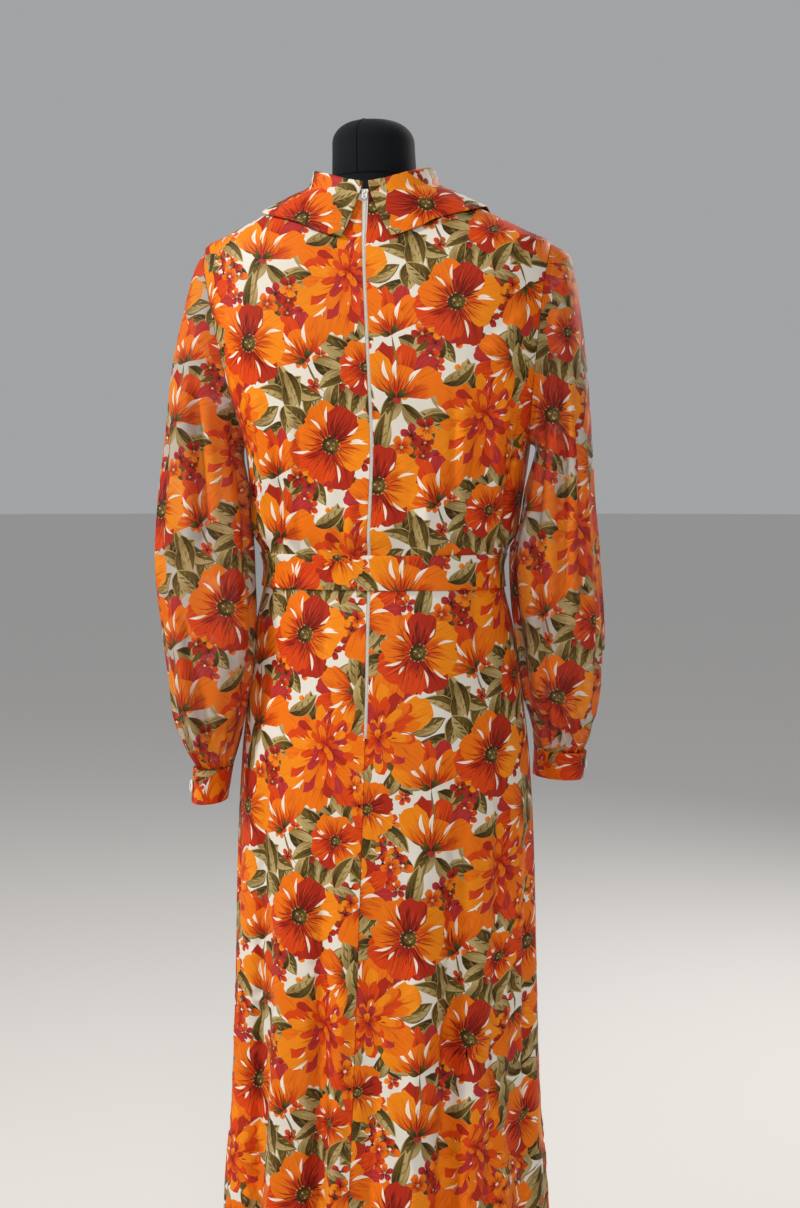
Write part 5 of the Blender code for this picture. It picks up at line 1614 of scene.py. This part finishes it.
def makeCollar():
    angles = collarAngles(0)
    fromBack = np.abs((angles + 180) % 360 - 180)
    edge = smooth(collar["edge"]["angle"], collar["edge"]["level"], fromBack)
    stand = smooth(collar["edge"]["angle"], collar["edge"]["stand"], fromBack)
    neck = np.full(len(angles), neckSide)
    seam, out = bodicePoint(neck, angles), outward(bodiceRows, neck, angles)
    fold, thick, gap = collar["fold"], collar["wall"], collar["clear"]
    radius = fold + thick

    def rise(across, height):
        return seam + out * across + np.array([0, 0, 1.0]) * np.reshape(height, (-1, 1))

    outer, inner = [], []
    for share in (0, 0.33, 0.66):
        outer.append(rise(fold - radius, 0.0003 + stand * share))
        inner.append(rise(0, 0.0003 + stand * share))
    for turn in np.radians(np.linspace(180, 0, 9)):
        c, s = math.cos(turn), math.sin(turn)
        outer.append(rise(fold + radius * c, stand + radius * s))
        inner.append(rise(fold + fold * c, stand + fold * s))
    for share in np.linspace(0, 1, 15)[1:]:
        level = neckSide + (edge - neckSide) * share**0.9
        angles = collarAngles(share)
        clear = gap["fold"] * (1 - share) ** 0.7 + gap["least"] + gap["tip"] * share**3
        on, normal = bodicePoint(level, angles), bodiceNormals(level, angles)
        outer.append(on + normal * (clear + thick))
        inner.append(on + normal * clear)
    outer, inner = np.array(outer)[::-1], np.array(inner)[::-1]
    cloth = closedBand(outer, inner, collarFlat(outer))
    printedPiece("collar", cloth, np.array(collar["offset"]), clothPrint)


# belt
belt = {
    "low": 1.0500,
    "high": 1.0880,
    "wall": 0.0022,
    "clear": 0.0006,
    "lap": 7.0,
    "offset": (0.070, 0.045),
    "creases": (
        (((-0.200, 0.0290), (-0.136, 0.0285), (-0.045, 0.0280), (0.010, 0.0275)), 0.0010, 0.0022),
        (((-0.020, 0.0265), (0.060, 0.0270), (0.132, 0.0275), (0.220, 0.0285)), 0.0012, 0.0024),
        (((-0.150, 0.0120), (-0.080, 0.0105), (-0.015, 0.0125)), 0.0008, 0.0024),
        (((0.025, 0.0130), (0.085, 0.0110), (0.150, 0.0125)), 0.0009, 0.0024),
        (((0.230, 0.0110), (0.300, 0.0120), (0.400, 0.0110)), 0.0007, 0.0022),
        (((-0.400, 0.0260), (-0.320, 0.0270), (-0.240, 0.0260)), 0.0007, 0.0022),
        (((-0.165, 0.0040), (-0.160, 0.0180), (-0.152, 0.0340)), 0.0006, 0.0030),
        (((0.158, 0.0040), (0.162, 0.0190), (0.170, 0.0350)), 0.0006, 0.0030),
    ),
}


def makeBelt():
    angles = np.linspace(-180 - belt["lap"], 180 + belt["lap"], 181)
    over = ease((-angles - 160) / 12) * (belt["wall"] + 0.0006)
    heights = np.linspace(belt["low"], belt["high"], 9)
    levels, turns = np.meshgrid(heights, angles, indexing="ij")
    low, high = ringPoint(skirtRows, levels, turns), ringPoint(bodiceRows, levels, turns)
    middle = ringPoint(skirtRows, np.full(levels.shape, waist), turns)
    rows = np.where((levels < waist)[..., None], low, high)
    blend = ease(np.abs(levels - waist) / 0.019)[..., None]
    rows = middle * (1 - blend) + rows * blend
    rows[..., 2] = levels
    out = outward(bodiceRows, np.full(levels.shape, waist), turns)
    inner = rows + out * (belt["clear"] + over)[None, :, None]
    outer = inner + out * belt["wall"]
    cloth = crease(closedBand(outer, inner, unroll(outer, 90, 0)), belt["creases"])
    printedPiece("belt", cloth, np.array(belt["offset"]), clothPrint)


makeCollar()
makeBelt()
print("cloth ready")

# zip
zipper = {
    "bottom": 0.887,
    "top": 1.5078,
    "pitch": 0.00078,
    "tooth": (0.00200, 0.00062, 0.00090),
    "toothShift": 0.00052,
    "toothDepth": 0.0004,
    "tapeHalf": 0.0068,
    "tapeDepth": 0.00125,
    "sliderLevel": 1.5025,
}


def centreBack(levels):
    # the point, outward normal and upward direction at the centre back
    def onDress(height):
        below = (height < waist)[..., None]
        return np.where(below, skirtPoint(height, 0 * height), bodicePoint(height, 0 * height))

    surface = onDress(levels)
    up = unit(onDress(np.minimum(levels + 0.002, neckSide)) - surface)
    return leaned(surface), np.cross(np.broadcast_to([1.0, 0, 0], up.shape), up), up


def spun(points, angle, steps, merged=False):
    bm = bmesh.new()
    line = [bm.verts.new(point) for point in points]
    edges = [bm.edges.new(pair) for pair in zip(line[:-1], line[1:])]
    bmesh.ops.spin(bm, geom=line + edges, cent=(0, 0, 0), axis=(0, 0, 1), angle=angle,
                   steps=steps, use_merge=merged)
    return bm


def lathe(profile, steps=96):
    bm = spun([(r, 0, z) for r, z in profile], math.tau, steps, True)
    bmesh.ops.remove_doubles(bm, verts=bm.verts, dist=0.00001)
    bmesh.ops.recalc_face_normals(bm, faces=bm.faces)
    return bm


def finishPiece(name, bm, material, body, replaced=(), smoothAngle=35):
    mesh = bpy.data.meshes.new(name)
    bm.to_mesh(mesh)
    bm.free()
    mesh.shade_smooth()
    mesh.set_sharp_from_angle(angle=math.radians(smoothAngle))
    for each in material if isinstance(material, (list, tuple)) else [material]:
        mesh.materials.append(each)
    piece = bpy.data.objects.new(name, mesh)
    bpy.context.scene.collection.objects.link(piece)
    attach(piece, body)
    if replaced:
        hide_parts(*replaced)
    return piece


def makeZip():
    low, top = zipper["bottom"], zipper["sliderLevel"] - 0.004
    levels = np.arange(low, top, zipper["pitch"])
    surface, normal, up = centreBack(levels)
    wide, high, deep = zipper["tooth"]
    tooth = bmesh.new()
    bmesh.ops.create_cube(tooth, size=1.0)
    bmesh.ops.scale(tooth, vec=(wide, high, deep), verts=tooth.verts)
    bmesh.ops.bevel(tooth, geom=tooth.edges[:], offset=0.00016, affect="EDGES", segments=1,
                    profile=0.5, material=-1)
    pattern = bpy.data.meshes.new("tooth_pattern")
    tooth.to_mesh(pattern)
    tooth.free()
    chain = bmesh.new()
    for i in range(len(levels)):
        side = 1 if i % 2 else -1
        before = len(chain.verts)
        chain.from_mesh(pattern)
        chain.verts.ensure_lookup_table()
        place = Matrix((Vector((1, 0, 0)), Vector(up[i]), Vector(normal[i]))).transposed().to_4x4()
        place.translation = Vector(surface[i] - normal[i] * zipper["toothDepth"])
        place.translation.x += side * zipper["toothShift"]
        bmesh.ops.transform(chain, matrix=place, verts=chain.verts[before:])
    bpy.data.meshes.remove(pattern)
    finishPiece("zip_teeth", chain, plastic, "dress_and_form", ["zip_chain"])

    levels = np.linspace(low - 0.002, zipper["top"], 90)
    surface, normal, up = centreBack(levels)
    strip = bmesh.new()
    bmesh.ops.create_grid(strip, x_segments=8, y_segments=len(levels) - 1, size=1)
    for vert in strip.verts:
        k = round((vert.co.y + 1) / 2 * (len(levels) - 1))
        half = vert.co.x * zipper["tapeHalf"]
        vert.co = surface[k] - normal[k] * zipper["tapeDepth"] + np.array([half, 0, 0])
    bmesh.ops.solidify(strip, geom=strip.faces[:], thickness=0.0003)
    bmesh.ops.recalc_face_normals(strip, faces=strip.faces)
    finishPiece("zip_tape", strip, tape, "dress_and_form")


makeZip()

# buttons, two on each cuff
button = {
    "profile": ((0.0, 0.0009), (0.0034, 0.0009), (0.0046, 0.0013), (0.0052, 0.0021), (0.0060, 0.0026),
                (0.0068, 0.0025), (0.0074, 0.0019), (0.0075, 0.0013), (0.0070, 0.0004), (0.0, 0.0001)),
    "centreWithin": 0.0049,
    "holeOut": 0.0014,
    "holeRadius": 0.0006,
}


def buttonMaterials():
    rim, centre, thread = Nodes("button_rim"), Nodes("button_centre"), Nodes("button_thread")
    for n, light, dark, scale in (
        (rim, "#F6F3EC", "#E4DFD4", 300.0),
        (centre, "#B9BBA6", "#8F927C", 420.0),
        (thread, "#F2EEE4", "#CFC9BA", 1500.0),
    ):
        place = n.place()
        cloud = n.noise(place, scale, 4.0, 0.6)
        n.color(n.remap(cloud, 0.3, 0.7), light, dark)
        n.roughness(cloud, 0.2, 0.8, (0.16, 0.30))
        n.constants({"Coat Weight": 0.3})
        n.bump(cloud, 0.1, 0.0001)
    return [rim.material, centre.material, thread.material]


def makeButtons():
    finishes = buttonMaterials()
    for sideName, sleeve in sleeves.items():
        side = sleeve["side"]
        turns, outer, _ = cuffLines(sleeve, 36, (0, 0.5, 1))
        facing = np.cross(np.gradient(outer, axis=1), np.gradient(outer, axis=0)) * side
        for number, turn in enumerate(sleeve["cuff"]["buttons"], 1):
            i = np.argmin(np.abs(turns - turn))
            direction = Vector(facing[1, i]).normalized()
            bm = lathe(button["profile"], 36)
            for face in bm.faces:
                middle = face.calc_center_median()
                face.material_index = int(math.hypot(middle.x, middle.y) < button["centreWithin"])
            for k in range(4):
                angle = math.tau * (k + 0.5) / 4
                at = (button["holeOut"] * math.cos(angle), button["holeOut"] * math.sin(angle), 0.00092)
                hole = bmesh.ops.create_cone(
                    bm, cap_ends=True, segments=10, radius1=button["holeRadius"],
                    radius2=button["holeRadius"], depth=0.0002, matrix=Matrix.Translation(at))
                for vert in hole["verts"]:
                    for face in vert.link_faces:
                        face.material_index = 0
            for k in range(2):
                spinBy = Matrix.Rotation(math.pi * (k + 0.5) / 2, 4, "Z")
                long = Matrix.Diagonal((2 * button["holeOut"], 0.0004, 0.0004, 1))
                lift = Matrix.Translation((0, 0, 0.00115 + 0.0002 * k))
                thread = bmesh.ops.create_cube(bm, size=1.0, matrix=lift @ spinBy @ long)
                for vert in thread["verts"]:
                    for face in vert.link_faces:
                        face.material_index = 2
            place = direction.to_track_quat("Z", "Y").to_matrix().to_4x4()
            place.translation = Vector(outer[1, i]) + direction * 0.0003
            bmesh.ops.transform(bm, matrix=place, verts=bm.verts)
            finishPiece(f"cuff_{sideName}_button_{number}_pearl", bm, finishes, "dress_and_form",
                        [f"cuff_{sideName}_button_{number}"])


makeButtons()

# the form under the dress and its stand
form = {
    "capRadius": 0.0480,
    "capSeam": 1.523,
    "capTop": 1.591,
    "corner": 0.032,
    "cornerHeight": 0.026,
    "base": (
        (0, 0), (0.1720, 0), (0.1745, 0.0010), (0.175, 0.0030), (0.175, 0.0135), (0.1742, 0.0160),
        (0.1720, 0.0176), (0.1690, 0.018), (0.040, 0.018), (0.0, 0.018),
    ),
    "pole": (
        (0, 0.0183), (0.0215, 0.0183), (0.0225, 0.0195), (0.0225, 0.0300), (0.0212, 0.0316),
        (0.0140, 0.0330), (0.0125, 0.0345), (0.0125, 0.7997), (0.0, 0.7997),
    ),
}


def leanMesh(bm):
    for vert, co in zip(bm.verts, leaned([vert.co for vert in bm.verts])):
        vert.co = co


def makeForm():
    radius, seam, top = form["capRadius"], form["capSeam"], form["capTop"]
    turns = np.linspace(0, math.pi / 2, 18)
    profile = [(0, seam), (radius + 0.0008, seam), (radius + 0.0015, seam + 0.0008)]
    profile += [(radius + 0.0013 * (1 - k / 6), seam + 0.003 + 0.0055 * k) for k in range(6)]
    profile += [
        (radius - form["corner"] * (1 - math.cos(t)),
         top - 0.002 - form["cornerHeight"] * (1 - math.sin(t)))
        for t in turns
    ]
    profile += [(0.010, top - 0.0012), (0.004, top - 0.0002), (0, top)]
    cap = lathe(profile)
    leanMesh(cap)
    finishPiece("form_neck_cap_cover", cap, jersey, "dress_and_form",
                ["form_neck_cap"], 50)
    for name, degrees in (("form_cap_seam_back", -16), ("form_cap_seam_front", 164)):
        strip = spun([(0, -r - 0.0005, z) for r, z in profile[2:-2]], 0.03, 3)
        bmesh.ops.solidify(strip, geom=strip.faces[:], thickness=0.0006)
        bmesh.ops.rotate(strip, matrix=Matrix.Rotation(math.radians(degrees), 3, "Z"),
                         verts=strip.verts)
        bmesh.ops.recalc_face_normals(strip, faces=strip.faces)
        leanMesh(strip)
        finishPiece(name, strip, jersey, "dress_and_form")

    finishPiece("form_base_plate", lathe(form["base"], 120), standMetal, "dress_and_form",
                ["form_base"])
    finishPiece("form_pole_tube", lathe(form["pole"], 48), standMetal, "dress_and_form",
                ["form_pole"])


makeForm()
